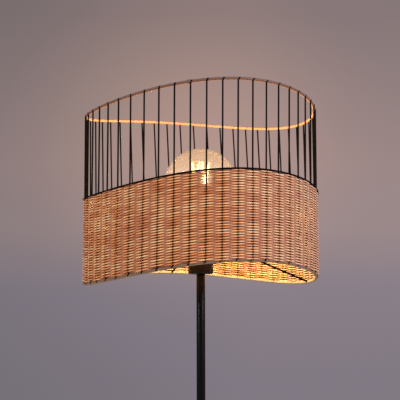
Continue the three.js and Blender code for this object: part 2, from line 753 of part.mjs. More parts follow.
// Glass stem: flared where it is fused to the neck, then a rod with the filament's crowns on it
function makeStem() {
  const flare = glassNeckRadius - GLASS_WALL - SEAT_GAP;
  const top = glassBottom + STEM_RISE;
  return turned([
    [0, glassBottom],
    [flare, glassBottom],
    [flare, glassBottom + GLASS_WALL],
    [STEM_RADIUS + GLASS_WALL, glassBottom + STEM_FLARE_HEIGHT],
    [STEM_RADIUS, glassBottom + STEM_FLARE_HEIGHT + STEM_FLARE_HEIGHT],
    [STEM_RADIUS, top - STEM_RADIUS],
    [STEM_RADIUS / 2, top],
    [0, top],
  ], SMALL_SIDES);
}

function filamentAngle(index) {
  return THREE.MathUtils.degToRad(FIRST_FILAMENT_DEGREES) + (2 * Math.PI * index) / FILAMENTS;
}

// A crown: a sleeve on the stem with one wire out to each filament
function makeCrown(height, ringRadius) {
  const bore = STEM_RADIUS + SEAT_GAP;
  const hubRadius = bore + CROWN_HUB_WALL;
  const hubBottom = height - CROWN_HUB_HEIGHT / 2;
  const parts = [tube(hubRadius, bore, hubBottom, hubBottom + CROWN_HUB_HEIGHT, SMALL_SIDES)];
  for (let index = 0; index < FILAMENTS; index += 1) {
    const angle = filamentAngle(index);
    const start = polar(bore + CROWN_HUB_WALL / 2, angle, height);
    parts.push(rod(start, polar(ringRadius + FILAMENT_RADIUS, angle, height), CROWN_WIRE_RADIUS));
  }
  return wasm.Manifold.union(parts);
}

function makeFilament(index) {
  const angle = filamentAngle(index);
  const endGap = CROWN_WIRE_RADIUS + SEAT_GAP;
  return rod(
    polar(FILAMENT_FOOT_RING, angle, filamentBottom + endGap),
    polar(FILAMENT_HEAD_RING, angle, filamentTop - endGap),
    FILAMENT_RADIUS,
  );
}

const lamp = new THREE.Group();
lamp.name = "rattan_floor_lamp";

function addPiece(name, solid, material) {
  const mesh = new THREE.Mesh(toGeometry(solid), material);
  mesh.name = name;
  lamp.add(mesh);
}

// The threaded tubes, and the bushes and joiner that hold them in the pole
function makeNipple(bottom, top) {
  return tube(NIPPLE_RADIUS, NIPPLE_BORE, bottom, top, SMALL_SIDES);
}

function makeBush(bottom) {
  return tube(bushRadius, nippleHole, bottom, bottom + BUSH_HEIGHT, SMALL_SIDES);
}

function makeJoiner() {
  const bottom = POLE_JOINT_HEIGHT - JOINER_LENGTH / 2;
  return tube(bushRadius, NIPPLE_BORE, bottom, bottom + JOINER_LENGTH, SMALL_SIDES);
}

function makeBaseWasher() {
  return tube(BASE_WASHER_RADIUS, nippleHole, baseWasherTop - BASE_WASHER_HEIGHT, baseWasherTop);
}

const lowerNippleBottom = baseNutTop - NUT_HEIGHT - NIPPLE_PROUD;
const lowerNippleTop = landHeight + LOWER_NIPPLE_REACH;
const topNippleBottom = HOLDER_BOTTOM_HEIGHT - TOP_NIPPLE_REACH;
const topNutTop = holderFloorTop + SEAT_GAP + NUT_HEIGHT;
const topBushBottom = HOLDER_BOTTOM_HEIGHT - BUSH_SETBACK - BUSH_HEIGHT;

addPiece("base_pad", makePad(), blackRubber);
addPiece("base_weight", makeWeight(), castCement);
addPiece("base_cover", makeCover(), blackSteel);
addPiece("base_washer", makeBaseWasher(), zincSteel);
addPiece("base_nut", makeNut(baseNutTop), zincSteel);
addPiece("cable_gland", makeGland(), blackRubber);
addPiece("lower_nipple", makeNipple(lowerNippleBottom, lowerNippleTop), zincSteel);
addPiece("lower_bush", makeBush(landHeight + BUSH_SETBACK), zincSteel);
addPiece("pole_collar", makeCollar(), blackSteel);
addPiece("pole_lower", tube(POLE_RADIUS, poleBore, landHeight, POLE_JOINT_HEIGHT), blackSteel);
addPiece("pole_joiner", makeJoiner(), zincSteel);
addPiece("pole_upper", tube(POLE_RADIUS, poleBore, POLE_JOINT_HEIGHT, HOLDER_BOTTOM_HEIGHT), blackSteel);
addPiece("top_bush", makeBush(topBushBottom), zincSteel);
addPiece("top_nipple", makeNipple(topNippleBottom, topNutTop + NIPPLE_PROUD), zincSteel);
addPiece("top_nut", makeNut(topNutTop), zincSteel);
addPiece("inner_lead", makeLead(), blackPlastic);
addPiece("holder_cup", makeCup(), blackPlastic);
addPiece("holder_skirt", makeSkirt(), blackPlastic);
addPiece("contact_block", makeContactBlock(), porcelain);
addPiece("screw_shell", makeScrewShell(), brass);
addPiece("centre_contact", makeCentreContact(), brass);
addPiece("shade_ring", makeShadeRing(), blackPlastic);

addPiece("fitter_ring", tube(FITTER_RADIUS, fitterBore, fitterBottom, fitterTop), blackSteel);
for (let index = 0; index < ARMS; index += 1) {
  addPiece(`spider_arm_${index + 1}`, makeArm(index), blackSteel);
}
addPiece("bottom_ring", makeRimWire(SHADE_RADIUS, 0), blackSteel);
addPiece("wire_cage", makeCage(), blackSteel);
addPiece("top_ring", makeRimWire(SHADE_RADIUS, SHADE_RISE), blackSteel);
addPiece("bottom_ring_wrap", makeBottomWrap(), rattanBinding);
addPiece("top_ring_wrap", makeRimWrap(SHADE_RISE, false), paleBinding);
addPiece("rattan_weave", makeWeave(), rattanCane);

addPiece("bulb_glass", makeGlass(), clearGlass);
addPiece("bulb_cap", makeCap(), capMetal);
addPiece("bulb_insulator", makeInsulator(), blackGlass);
addPiece("bulb_contact", makeContact(), brass);
addPiece("bulb_stem", makeStem(), clearGlass);
addPiece("filament_crown_lower", makeCrown(filamentBottom, FILAMENT_FOOT_RING), zincSteel);
addPiece("filament_crown_upper", makeCrown(filamentTop, FILAMENT_HEAD_RING), zincSteel);
for (let index = 0; index < FILAMENTS; index += 1) {
  addPiece(`filament_${index + 1}`, makeFilament(index), filamentGlow);
}

export default lamp;
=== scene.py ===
# %% [markdown]
# # A rattan floor lamp
# This lesson dresses the frame of a floor lamp: a round wire shade whose rims wave up and down,
# a band of woven cane round its lower half, a lit globe bulb, and a slim black pole on a round base.
# The frame comes first. Its pieces have their real sizes and never move, so every new surface is
# built round them. All lengths are in metres, with Z up and the base's underside at zero.

# %% Load the frame
import math

import bmesh
import bpy
import numpy as np
from mathutils import Matrix, Vector


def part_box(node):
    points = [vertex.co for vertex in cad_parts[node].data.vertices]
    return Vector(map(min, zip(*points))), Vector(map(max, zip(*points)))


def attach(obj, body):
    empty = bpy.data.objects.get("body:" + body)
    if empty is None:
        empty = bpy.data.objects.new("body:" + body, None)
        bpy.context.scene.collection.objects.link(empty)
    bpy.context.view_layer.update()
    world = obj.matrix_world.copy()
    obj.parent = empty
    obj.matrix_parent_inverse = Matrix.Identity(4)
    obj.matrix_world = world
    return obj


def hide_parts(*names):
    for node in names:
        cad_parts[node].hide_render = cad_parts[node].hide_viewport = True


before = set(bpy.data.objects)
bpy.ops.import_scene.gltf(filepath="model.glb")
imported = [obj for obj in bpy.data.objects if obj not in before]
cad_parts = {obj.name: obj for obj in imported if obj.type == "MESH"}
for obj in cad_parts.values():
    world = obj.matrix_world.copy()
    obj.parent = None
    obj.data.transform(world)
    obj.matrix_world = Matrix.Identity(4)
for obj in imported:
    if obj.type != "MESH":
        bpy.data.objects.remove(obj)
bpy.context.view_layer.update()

# %% [markdown]
# ## Driving sizes
# A model that is read by others keeps its sizes in one place. The wires, strands and walls are
# written in millimetres and turned into metres by one factor. Places come from the boxes of the
# frame's pieces, so nothing has to be measured twice.

# %% Driving sizes
MM = 0.001
FULL_TURN = 2 * math.pi
WIRE_RADIUS = 1.5 * MM
RIM_WAVE = 13.6 * MM
WAVES = 2
LOW_POINT = math.radians(22)
RIM_DROP = 1.5 * MM
RIM_LEAN = 3.5 * MM
HIGH_SIDE = math.radians(336)
UPRIGHTS = 49
BAY = FULL_TURN / UPRIGHTS


def middle_and_size(node):
    """The centre of a frame piece's box and its lengths along X, Y and Z."""
    low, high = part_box(node)
    return (low + high) / 2, high - low


bottom_centre, bottom_size = middle_and_size("bottom_ring")
top_centre = middle_and_size("top_ring")[0]
SHADE_RADIUS = bottom_size.x / 2 - WIRE_RADIUS
SHADE_RISE = top_centre.z - bottom_centre.z
BAND_RISE = SHADE_RISE / 2
BAY_LENGTH = BAY * SHADE_RADIUS
RIM_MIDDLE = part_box("holder_cup")[0].z - RIM_DROP
print("shade radius:", round(SHADE_RADIUS, 4), "rise:", round(SHADE_RISE, 4))

# %% [markdown]
# ## The camera
# The photograph shows the shade from slightly below. A long lens from a short way off keeps the
# round rims nearly flat, as they look there. The focal length is written in pixels of the
# 400 pixel picture and turned into millimetres on a 36 mm sensor.

# %% The camera
PICTURE_PX = 400
FOCAL_PX = 1085
SENSOR_MM = 36
CAMERA_DISTANCE = 1.827
CAMERA_HEIGHT = 1.1665
CAMERA_SIDE = -0.001
TILT_UP = math.radians(5.89)
ROLL = math.radians(-0.12)

camera_data = bpy.data.cameras.new("picture_camera")
camera_data.sensor_width = SENSOR_MM
camera_data.lens = FOCAL_PX * SENSOR_MM / PICTURE_PX
camera = bpy.data.objects.new("picture_camera", camera_data)
camera_turn = Matrix.Rotation(math.pi / 2 + TILT_UP, 4, "X") @ Matrix.Rotation(ROLL, 4, "Z")
camera.matrix_world = Matrix.Translation((CAMERA_SIDE, -CAMERA_DISTANCE, CAMERA_HEIGHT)) @ camera_turn
bpy.context.scene.collection.objects.link(camera)
bpy.context.scene.camera = camera
print("lens in mm:", round(camera_data.lens, 2))

# %% [markdown]
# ## The backdrop
# The world does two jobs. Light Path tells its shader who is asking: surfaces get a soft light from
# all sides, and the camera, mirrors and glass get the backdrop's colour, so a darker backdrop
# doesn't darken the lamp. The backdrop is a wall. Its tone changes with height and brightens
# towards the right, and a round halo is multiplied over it, because the lamp warms the wall.

# %% The backdrop's tones
SOFT_LIGHT = (0.93, 0.93, 1.0)
SOFT_STRENGTH = 0.42
BACKDROP_LOW_Z = -0.066
BACKDROP_HIGH_Z = 0.268
BACKDROP_STOPS = [
    (0.0, (0.203, 0.178, 0.208)),
    (0.25, (0.226, 0.195, 0.228)),
    (0.42, (0.300, 0.230, 0.234)),
    (0.6, (0.306, 0.228, 0.222)),
    (1.0, (0.222, 0.172, 0.173)),
]
BACKDROP_LEFT_X = -0.18
BACKDROP_RIGHT_X = 0.05
BACKDROP_LEFT = (0.88, 0.90, 0.91)
BACKDROP_RIGHT = (1.09, 1.08, 1.09)
HALO_DIRECTION = (-0.009, 0.986, 0.166)
HALO_REACH = 0.19
HALO_TONE = (1.46, 1.31, 1.15)
print("backdrop stops:", len(BACKDROP_STOPS))

# %% The world and helpers for its nodes
scene = bpy.context.scene
scene.view_settings.view_transform = "Standard"
world = bpy.data.worlds.new("studio")
scene.world = world
world.use_nodes = True
sky, sky_links = world.node_tree.nodes, world.node_tree.links
sky.clear()
COLOUR_A, COLOUR_B, COLOUR_OUT = 6, 7, 2


def sky_range(driver, low, high):
    """Turns a driver's values from low to high into zero to one."""
    made = sky.new("ShaderNodeMapRange")
    made.inputs["From Min"].default_value = low
    made.inputs["From Max"].default_value = high
    sky_links.new(driver, made.inputs["Value"])
    return made


def sky_mix(blend):
    """A Mix node for colours. Its colour sockets have the numbers that are named above."""
    made = sky.new("ShaderNodeMix")
    made.data_type = "RGBA"
    made.blend_type = blend
    return made


def sky_maximum(first, second):
    """The larger of two values."""
    made = sky.new("ShaderNodeMath")
    made.operation = "MAXIMUM"
    sky_links.new(first, made.inputs[0])
    sky_links.new(second, made.inputs[1])
    return made.outputs["Value"]


print("world:", world.name)

# %% The backdrop's shader
direction = sky.new("ShaderNodeTexCoord").outputs["Generated"]
split = sky.new("ShaderNodeSeparateXYZ")
sky_links.new(direction, split.inputs["Vector"])
height_share = sky_range(split.outputs["Z"], BACKDROP_LOW_Z, BACKDROP_HIGH_Z)
backdrop_ramp = sky.new("ShaderNodeValToRGB")
for place, _ in BACKDROP_STOPS[1:-1]:
    backdrop_ramp.color_ramp.elements.new(place)
for stop, (place, colour) in zip(backdrop_ramp.color_ramp.elements, BACKDROP_STOPS):
    stop.position = place
    stop.color = (*colour, 1)
sky_links.new(height_share.outputs["Result"], backdrop_ramp.inputs["Fac"])

side_share = sky_range(split.outputs["X"], BACKDROP_LEFT_X, BACKDROP_RIGHT_X)
side_tone = sky_mix("MIX")
side_tone.inputs[COLOUR_A].default_value = (*BACKDROP_LEFT, 1)
side_tone.inputs[COLOUR_B].default_value = (*BACKDROP_RIGHT, 1)
sky_links.new(side_share.outputs["Result"], side_tone.inputs["Factor"])
toned = sky_mix("MULTIPLY")
toned.inputs["Factor"].default_value = 1
sky_links.new(backdrop_ramp.outputs["Color"], toned.inputs[COLOUR_A])
sky_links.new(side_tone.outputs[COLOUR_OUT], toned.inputs[COLOUR_B])

from_halo = sky.new("ShaderNodeVectorMath")
from_halo.operation = "DISTANCE"
from_halo.inputs[1].default_value = HALO_DIRECTION
sky_links.new(direction, from_halo.inputs[0])
halo_share = sky_range(from_halo.outputs["Value"], HALO_REACH, 0)
halo_share.interpolation_type = "SMOOTHSTEP"
warmed = sky_mix("MULTIPLY")
warmed.inputs[COLOUR_B].default_value = (*HALO_TONE, 1)
sky_links.new(halo_share.outputs["Result"], warmed.inputs["Factor"])
sky_links.new(toned.outputs[COLOUR_OUT], warmed.inputs[COLOUR_A])
print("backdrop nodes:", len(sky))

# %% Soft light for surfaces, backdrop for the camera
soft = sky.new("ShaderNodeBackground")
soft.inputs["Color"].default_value = (*SOFT_LIGHT, 1)
soft.inputs["Strength"].default_value = SOFT_STRENGTH
backdrop = sky.new("ShaderNodeBackground")
sky_links.new(warmed.outputs[COLOUR_OUT], backdrop.inputs["Color"])
asker = sky.new("ShaderNodeLightPath")
seen = sky_maximum(asker.outputs["Is Camera Ray"], asker.outputs["Is Glossy Ray"])
seen = sky_maximum(seen, asker.outputs["Is Transmission Ray"])
choose = sky.new("ShaderNodeMixShader")
world_out = sky.new("ShaderNodeOutputWorld")
sky_links.new(seen, choose.inputs["Fac"])
sky_links.new(soft.outputs["Background"], choose.inputs[1])
sky_links.new(backdrop.outputs["Background"], choose.inputs[2])
sky_links.new(choose.outputs["Shader"], world_out.inputs["Surface"])
print("world nodes:", len(sky))

# %% [markdown]
# ## Soft boxes
# Two tall area lights stand at the sides, as in a studio. They bring out the relief of the weave and
# draw thin streaks on the round pole. The right one is stronger, as in the photograph.

# %% Soft boxes
SOFT_BOX_WIDTH = 0.6
SOFT_BOX_HEIGHT = 1.6
SHADE_MIDDLE = Vector((0, 0, bottom_centre.z + BAND_RISE))


def soft_box(name, place, watts, colour):
    """A tall area light at a place, turned towards the shade."""
    lamp_data = bpy.data.lights.new(name, "AREA")
    lamp_data.shape = "RECTANGLE"
    lamp_data.size = SOFT_BOX_WIDTH
    lamp_data.size_y = SOFT_BOX_HEIGHT
    lamp_data.energy = watts
    lamp_data.color = colour
    lamp = bpy.data.objects.new(name, lamp_data)
    lamp.location = place
    lamp.rotation_euler = (SHADE_MIDDLE - Vector(place)).to_track_quat("-Z", "Y").to_euler()
    scene.collection.objects.link(lamp)


soft_box("key_light", (2.3, -1.6, 2.5), 92, (0.97, 0.96, 1.0))
soft_box("fill_light", (-2.4, -1.6, 2.4), 67, (1.0, 0.95, 0.92))

# %% [markdown]
# ## Helpers for finishes
# Each finish is one Principled surface with noise behind it. Broad noise runs through a colour ramp,
# so that the tone drifts as on a real surface. Fine noise goes to a Bump node and gives it grain.
# The coordinates are the object's own or the unwrapped ones, so the finish stays on the piece when
# the piece moves.

# %% Helpers for finishes
def new_finish(name, roughness, metallic=0.0, specular=0.5):
    """A material with one Principled shader. Returns both."""
    made = bpy.data.materials.new(name)
    made.use_nodes = True
    shader = made.node_tree.nodes["Principled BSDF"]
    shader.inputs["Roughness"].default_value = roughness
    shader.inputs["Metallic"].default_value = metallic
    shader.inputs["Specular IOR Level"].default_value = specular
    return made, shader


def noise(made, size, stretch=(1, 1, 1), coordinates="Object", detail=3.0):
    """Noise whose spots are about size across, longer along an axis whose stretch is below one."""
    nodes, links = made.node_tree.nodes, made.node_tree.links
    where = nodes.new("ShaderNodeTexCoord")
    mapping = nodes.new("ShaderNodeMapping")
    mapping.inputs["Scale"].default_value = [share / size for share in stretch]
    texture = nodes.new("ShaderNodeTexNoise")
    texture.inputs["Scale"].default_value = 1
    texture.inputs["Detail"].default_value = detail
    links.new(where.outputs[coordinates], mapping.inputs["Vector"])
    links.new(mapping.outputs["Vector"], texture.inputs["Vector"])
    return texture.outputs["Fac"]


def tint(made, shader, driver, stops, socket="Base Color"):
    """Sends a driver from zero to one through a colour ramp to a colour of the shader."""
    nodes, links = made.node_tree.nodes, made.node_tree.links
    ramp = nodes.new("ShaderNodeValToRGB")
    for _ in stops[2:]:
        ramp.color_ramp.elements.new(0.5)
    for stop, (place, colour) in zip(ramp.color_ramp.elements, stops):
        stop.position = place
        stop.color = (*colour, 1)
    links.new(driver, ramp.inputs["Fac"])
    links.new(ramp.outputs["Color"], shader.inputs[socket])
    return ramp.outputs["Color"]


def two_tones(dark, light):
    """Stops for a ramp that noise drives. Noise rarely leaves this middle part of its range."""
    return [(0.3, dark), (0.7, light)]


def grain(made, shader, driver, height):
    """Lifts the surface by a driver's value, up to a height."""
    nodes, links = made.node_tree.nodes, made.node_tree.links
    bump = nodes.new("ShaderNodeBump")
    bump.inputs["Distance"].default_value = height
    links.new(driver, bump.inputs["Height"])
    links.new(bump.outputs["Normal"], shader.inputs["Normal"])


def vary_roughness(made, shader, driver, low, high):
    """Lets the gloss drift between two values."""
    nodes, links = made.node_tree.nodes, made.node_tree.links
    spread = nodes.new("ShaderNodeMapRange")
    spread.inputs["To Min"].default_value = low
    spread.inputs["To Max"].default_value = high
    links.new(driver, spread.inputs["Value"])
    links.new(spread.outputs["Result"], shader.inputs["Roughness"])


PATCH_TO_GRAIN = 12
GLOSSIEST = 0.85
DULLEST = 1.2


def plain_finish(name, dark, light, roughness, size, height, metallic=0.0, stretch=(1, 1, 1), specular=0.5):
    """A finish whose colour drifts between two near tones, with a grain of a size and a height."""
    made, shader = new_finish(name, roughness, metallic, specular)
    tint(made, shader, noise(made, size * PATCH_TO_GRAIN), two_tones(dark, light))
    fine = noise(made, size, stretch)
    grain(made, shader, fine, height)
    vary_roughness(made, shader, fine, roughness * GLOSSIEST, min(1, roughness * DULLEST))
    return made


print("helpers for finishes ready")

# %% [markdown]
# ## Metal, plastic and rubber
# Powder coat is nearly black with a very fine orange peel, and the wires' coat is duller. Zinc is a
# cool grey with short scratches. Cement is pale with coarse grain. The holder's plastic is browner
# than the coat. All of them come from one recipe, so only their numbers differ.

# %% Metal, plastic and rubber
COAT_GRAIN = 0.9 * MM
COAT_PEEL = 0.05 * MM
FINE_PEEL = COAT_PEEL * 0.6
ALONG_Z = (1, 1, 0.1)
black_coat = plain_finish(
    "black_powder_coat", (0.0014, 0.0012, 0.0012), (0.003, 0.0025, 0.0024),
    0.2, COAT_GRAIN, FINE_PEEL, specular=0.17)
matt_coat = plain_finish(
    "matt_wire_coat", (0.003, 0.0014, 0.0009), (0.006, 0.0028, 0.0017),
    0.6, COAT_GRAIN, COAT_PEEL, specular=0.03)
zinc = plain_finish(
    "zinc_plate", (0.50, 0.51, 0.53), (0.66, 0.67, 0.69),
    0.32, 0.8 * MM, 0.02 * MM, metallic=1.0, stretch=ALONG_Z)
rubber = plain_finish("black_rubber", (0.012, 0.012, 0.012), (0.022, 0.022, 0.022), 0.85, 1.2 * MM, 0.08 * MM)
cement = plain_finish("cast_cement", (0.22, 0.21, 0.19), (0.34, 0.33, 0.30), 0.95, 2.5 * MM, 0.4 * MM)
moulded = plain_finish(
    "moulded_plastic", (0.009, 0.003, 0.0015), (0.016, 0.006, 0.003),
    0.4, 0.6 * MM, 0.02 * MM, specular=0.2)
sheath = plain_finish("lead_sheath", (0.016, 0.016, 0.016), (0.026, 0.026, 0.026), 0.5, 1.5 * MM, 0.02 * MM)
porcelain = plain_finish("glazed_porcelain", (0.80, 0.77, 0.69), (0.88, 0.86, 0.80), 0.15, 3 * MM, 0.01 * MM)
brass = plain_finish(
    "stamped_brass", (0.66, 0.44, 0.17), (0.76, 0.55, 0.26),
    0.28, 0.7 * MM, 0.02 * MM, metallic=1.0)
cap_metal = plain_finish(
    "rolled_aluminium", (0.62, 0.62, 0.60), (0.76, 0.76, 0.74),
    0.26, 0.7 * MM, 0.02 * MM, metallic=1.0)
black_glass = plain_finish("black_glass", (0.015, 0.012, 0.02), (0.03, 0.02, 0.035), 0.08, 3 * MM, 0.01 * MM)
print("plain finishes:", len(bpy.data.materials))

# %% [markdown]
# ## Glass and filaments
# The globe's glass is clear but has a warm tint, and a slight roughness spreads the filaments' glow.
# A thin haze on it glows too, and gets darker and yellower towards its top. Each filament is a lit
# stick with cold metal ends, and only its lower half is white-hot. Its emission is left out of the
# renderer's search for lights, because a round light lights the cane instead.

# %% Helpers for glass and glow
def clear_glass(name, roughness, bending, patch, dark, light):
    """Glass whose tint drifts between two near tones. bending is its index of refraction."""
    made, shader = new_finish(name, roughness)
    shader.inputs["Transmission Weight"].default_value = 1.0
    shader.inputs["IOR"].default_value = bending
    tint(made, shader, noise(made, patch), two_tones(dark, light))
    return made, shader


def glow_upwards(made, shader, strength, stops):
    """Lets a finish give off light, whose colour follows a ramp up the piece's own box."""
    nodes, links = made.node_tree.nodes, made.node_tree.links
    where = nodes.new("ShaderNodeTexCoord")
    split = nodes.new("ShaderNodeSeparateXYZ")
    links.new(where.outputs["Generated"], split.inputs["Vector"])
    tint(made, shader, split.outputs["Z"], stops, "Emission Color")
    shader.inputs["Emission Strength"].default_value = strength


print("helpers for glass and glow ready")

# %% Glass and filaments
HAZE_STOPS = [(0.62, (1.0, 0.74, 0.55)), (0.80, (0.90, 0.62, 0.42)), (1.0, (0.74, 0.45, 0.21))]
HAZE_STRENGTH = 0.11
globe_glass, globe_shader = clear_glass(
    "globe_glass", 0.18, 1.45, 40 * MM, (1.0, 0.90, 0.74), (1.0, 0.93, 0.80))
glow_upwards(globe_glass, globe_shader, HAZE_STRENGTH, HAZE_STOPS)
stem_glass = clear_glass("stem_glass", 0.05, 1.5, 10 * MM, (0.95, 0.95, 0.93), (1, 1, 1))[0]

FILAMENT_STRENGTH = 420.0
FILAMENT_STOPS = [
    (0.04, (0, 0, 0)),
    (0.12, (1.0, 0.66, 0.30)),
    (0.40, (1.0, 0.66, 0.30)),
    (0.56, (0.012, 0.008, 0.004)),
    (0.94, (0, 0, 0)),
]
FILAMENT_SKIN = two_tones((1, 0.62, 0.2), (1, 0.75, 0.4))
lit_filament, filament_shader = new_finish("lit_filament", 0.4)
glow_upwards(lit_filament, filament_shader, FILAMENT_STRENGTH, FILAMENT_STOPS)
tint(lit_filament, filament_shader, noise(lit_filament, 3 * MM), FILAMENT_SKIN)
lit_filament.cycles.emission_sampling = "NONE"
print("finishes so far:", len(bpy.data.materials))

# %% [markdown]
# ## Cane
# Peeled cane is a bundle of long fibres. Its tone drifts slowly along a strand, from straw to
# brown, and fine lines run along it. Every strand here is unwrapped with its first coordinate along
# its length, in metres, so noise that is stretched that way gives both. The same recipe with other
# tones makes the bindings of the two rims. Painted shade in creases, in recesses and on the outer
# side of a binding, and a painted paler side of the weave, are mixed into the colour: each is mixed
# in where a value on the mesh is high.

# %% Helpers for cane
STRAND_PATCH = 55 * MM
PATCH_STRETCH = (1, 4, 1)
FIBRE_LENGTH_SHARE = 0.02
FIBRE_WIDTH = 0.35 * MM
FIBRE_BLEND = 0.35
FIBRE_GRAIN = 0.12 * MM
CANE_GLOSSIEST = 0.8
CANE_DULLEST = 1.15


def paint_light_and_shade(made, shader, skin, attribute, colour, share):
    """Paints light or shade into the colour: mixes a colour over the skin where a named attribute of the mesh
    is high, up to a share.
    """
    nodes, links = made.node_tree.nodes, made.node_tree.links
    mark = nodes.new("ShaderNodeAttribute")
    mark.attribute_name = attribute
    strength = nodes.new("ShaderNodeMapRange")
    strength.inputs["To Max"].default_value = share
    painted = nodes.new("ShaderNodeMix")
    painted.data_type = "RGBA"
    painted.inputs[COLOUR_B].default_value = (*colour, 1)
    links.new(mark.outputs["Fac"], strength.inputs["Value"])
    links.new(strength.outputs["Result"], painted.inputs["Factor"])
    links.new(skin, painted.inputs[COLOUR_A])
    links.new(painted.outputs[COLOUR_OUT], shader.inputs["Base Color"])
    return painted.outputs[COLOUR_OUT]


def cane(name, stops, roughness, specular, painted_marks):
    """Cane with patches and fibres along it. The last argument lists [attribute, colour, share] for each
    painted light or shade mark.
    """
    made, shader = new_finish(name, roughness, specular=specular)
    patches = noise(made, STRAND_PATCH, PATCH_STRETCH, "UV", detail=2)
    fibres = noise(made, FIBRE_WIDTH, (FIBRE_LENGTH_SHARE, 1, 1), "UV", detail=2)
    blend = made.node_tree.nodes.new("ShaderNodeMix")
    blend.inputs["Factor"].default_value = FIBRE_BLEND
    made.node_tree.links.new(patches, blend.inputs["A"])
    made.node_tree.links.new(fibres, blend.inputs["B"])
    skin = tint(made, shader, blend.outputs["Result"], stops)
    for attribute, colour, share in painted_marks:
        skin = paint_light_and_shade(made, shader, skin, attribute, colour, share)
    grain(made, shader, fibres, FIBRE_GRAIN)
    vary_roughness(made, shader, fibres, roughness * CANE_GLOSSIEST, roughness * CANE_DULLEST)
    return made


print("cane recipe ready")

# %% Cane
WOVEN_STOPS = [(0.40, (0.60, 0.163, 0.049)), (0.5, (0.94, 0.37, 0.127)), (0.60, (1.0, 0.61, 0.30))]
TOP_STOPS = [(0.3, (0.37, 0.135, 0.068)), (0.5, (0.40, 0.15, 0.077)), (0.7, (0.43, 0.165, 0.088))]
LOW_STOPS = [(0.3, (0.34, 0.20, 0.11)), (0.5, (0.44, 0.27, 0.15)), (0.7, (0.54, 0.35, 0.20))]
# Painted light and shade on the weave: a painted paler side, painted shade midway between uprights, and
# painted shade along strand edges, in recesses and at the uprights.
WOVEN_PAINTED_LIGHT = [
    ("painted_light_side", (0.95, 0.62, 0.46), 0.50),
    ("mid_bay_painted_shade", (0.23, 0.086, 0.055), 0.85),
    ("painted_shade", (0.06, 0.012, 0.003), 0.92),
]
# Painted shade on the bindings: their outer side, their grooves and their slits.
TOP_PAINTED_SHADE = [("outer_painted_shade", (0.12, 0.075, 0.060), 0.92), ("painted_shade", (0.07, 0.030, 0.014), 0.6)]
LOW_PAINTED_SHADE = [("outer_painted_shade", (0.165, 0.092, 0.064), 0.9), ("painted_shade", (0.05, 0.024, 0.013), 0.8)]
woven_cane = cane("woven_cane", WOVEN_STOPS, 0.45, 0.35, WOVEN_PAINTED_LIGHT)
top_cane = cane("top_binding_cane", TOP_STOPS, 0.5, 0.2, TOP_PAINTED_SHADE)
low_cane = cane("bottom_binding_cane", LOW_STOPS, 0.6, 0.15, LOW_PAINTED_SHADE)
print("cane finishes:", woven_cane.name, top_cane.name, low_cane.name)

# %% [markdown]
# ## Helpers for shapes
# Almost every piece here is a grid of points: rings of points placed along a path. A turned piece
# is a profile carried round the axis, a strand is a small section carried along its line, and a wire
# is the same with a nearly straight line. One function makes the grid's faces and its unwrapping, and
# another joins grids into a piece, puts it on its body and hides the frame pieces it stands for.

# %% Grids and pieces
MERGE_WITHIN = 1e-7


def grid(points, along, across, path_closed=False, section_closed=True):
    """Faces and unwrapping for rings of points. along and across give each ring's and point's place."""
    rings, sides = points.shape[:2]
    ring = np.arange(rings if path_closed else rings - 1)
    side = np.arange(sides if section_closed else sides - 1)
    ring, side = [axis.ravel() for axis in np.meshgrid(ring, side, indexing="ij")]
    after, beside = (ring + 1) % rings, (side + 1) % sides
    corners = [(ring, side), (after, side), (after, beside), (ring, beside)]
    quads = np.stack([first * sides + second for first, second in corners], -1)
    places = [(ring, side), (ring + 1, side), (ring + 1, side + 1), (ring, side + 1)]
    unwrapped = np.stack([np.stack([along[first], across[second]], -1) for first, second in places], 1)
    faces = quads.tolist()
    spots = unwrapped.reshape(-1, 2).tolist()
    if section_closed and not path_closed:
        for start in (0, (rings - 1) * sides):
            faces.append([start + point for point in range(sides)])
            spots.extend([[0.0, 0.0]] * sides)
    return points.reshape(-1, 3).tolist(), faces, spots


def build(name, grids, material, body, stands_for, marks=None, sharp_over=38):
    """Joins grids into one piece, smooth but for edges over an angle, and puts it on its body."""
    points, faces, spots = [], [], []
    for more_points, more_faces, more_spots in grids:
        first = len(points)
        points.extend(more_points)
        faces.extend([[first + corner for corner in face] for face in more_faces])
        spots.extend(more_spots)
    mesh = bpy.data.meshes.new(name)
    mesh.from_pydata(points, [], faces)
    unwrap = mesh.uv_layers.new(name="UVMap")
    unwrap.data.foreach_set("uv", np.asarray(spots, np.float32).ravel())
    for mark, values in (marks or {}).items():
        attribute = mesh.attributes.new(mark, "FLOAT", "POINT")
        attribute.data.foreach_set("value", np.asarray(values, np.float32).ravel())
    shaped = bmesh.new()
    shaped.from_mesh(mesh)
    bmesh.ops.remove_doubles(shaped, verts=shaped.verts, dist=MERGE_WITHIN)
    bmesh.ops.recalc_face_normals(shaped, faces=shaped.faces)
    shaped.to_mesh(mesh)
    shaped.free()
    mesh.shade_smooth()
    mesh.set_sharp_from_angle(angle=math.radians(sharp_over))
    mesh.materials.append(material)
    piece = bpy.data.objects.new(name, mesh)
    scene.collection.objects.link(piece)
    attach(piece, body)
    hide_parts(*stands_for)
    return piece


print("grid and build ready")

# %% Turned pieces
def evenly_round(count, first=0.0):
    """Azimuths of a count of places, evenly spaced round the axis from a first one."""
    return first + np.arange(count) * FULL_TURN / count


def round_section(radius, sides, start=0.0):
    """Points of a circle. start moves the first point on by a share of one side."""
    turn = (np.arange(sides) + start) * FULL_TURN / sides
    return np.stack([radius * np.cos(turn), radius * np.sin(turn)], -1)


def ring_grid(angles, radii, heights, path_closed=True, section_closed=True, along=None):
    """A grid round the Z axis. radii and heights hold one row of section points for each angle."""
    turns = angles[:, None]
    points = np.stack([radii * np.cos(turns), radii * np.sin(turns), heights], -1)
    if along is None:
        along = np.append(angles, angles[0] + FULL_TURN) * float(radii.max())
    steps = np.hypot(np.diff(radii[0], append=radii[0, :1]), np.diff(heights[0], append=heights[0, :1]))
    across = np.append(0, np.cumsum(steps))
    return grid(points, along, across, path_closed, section_closed)


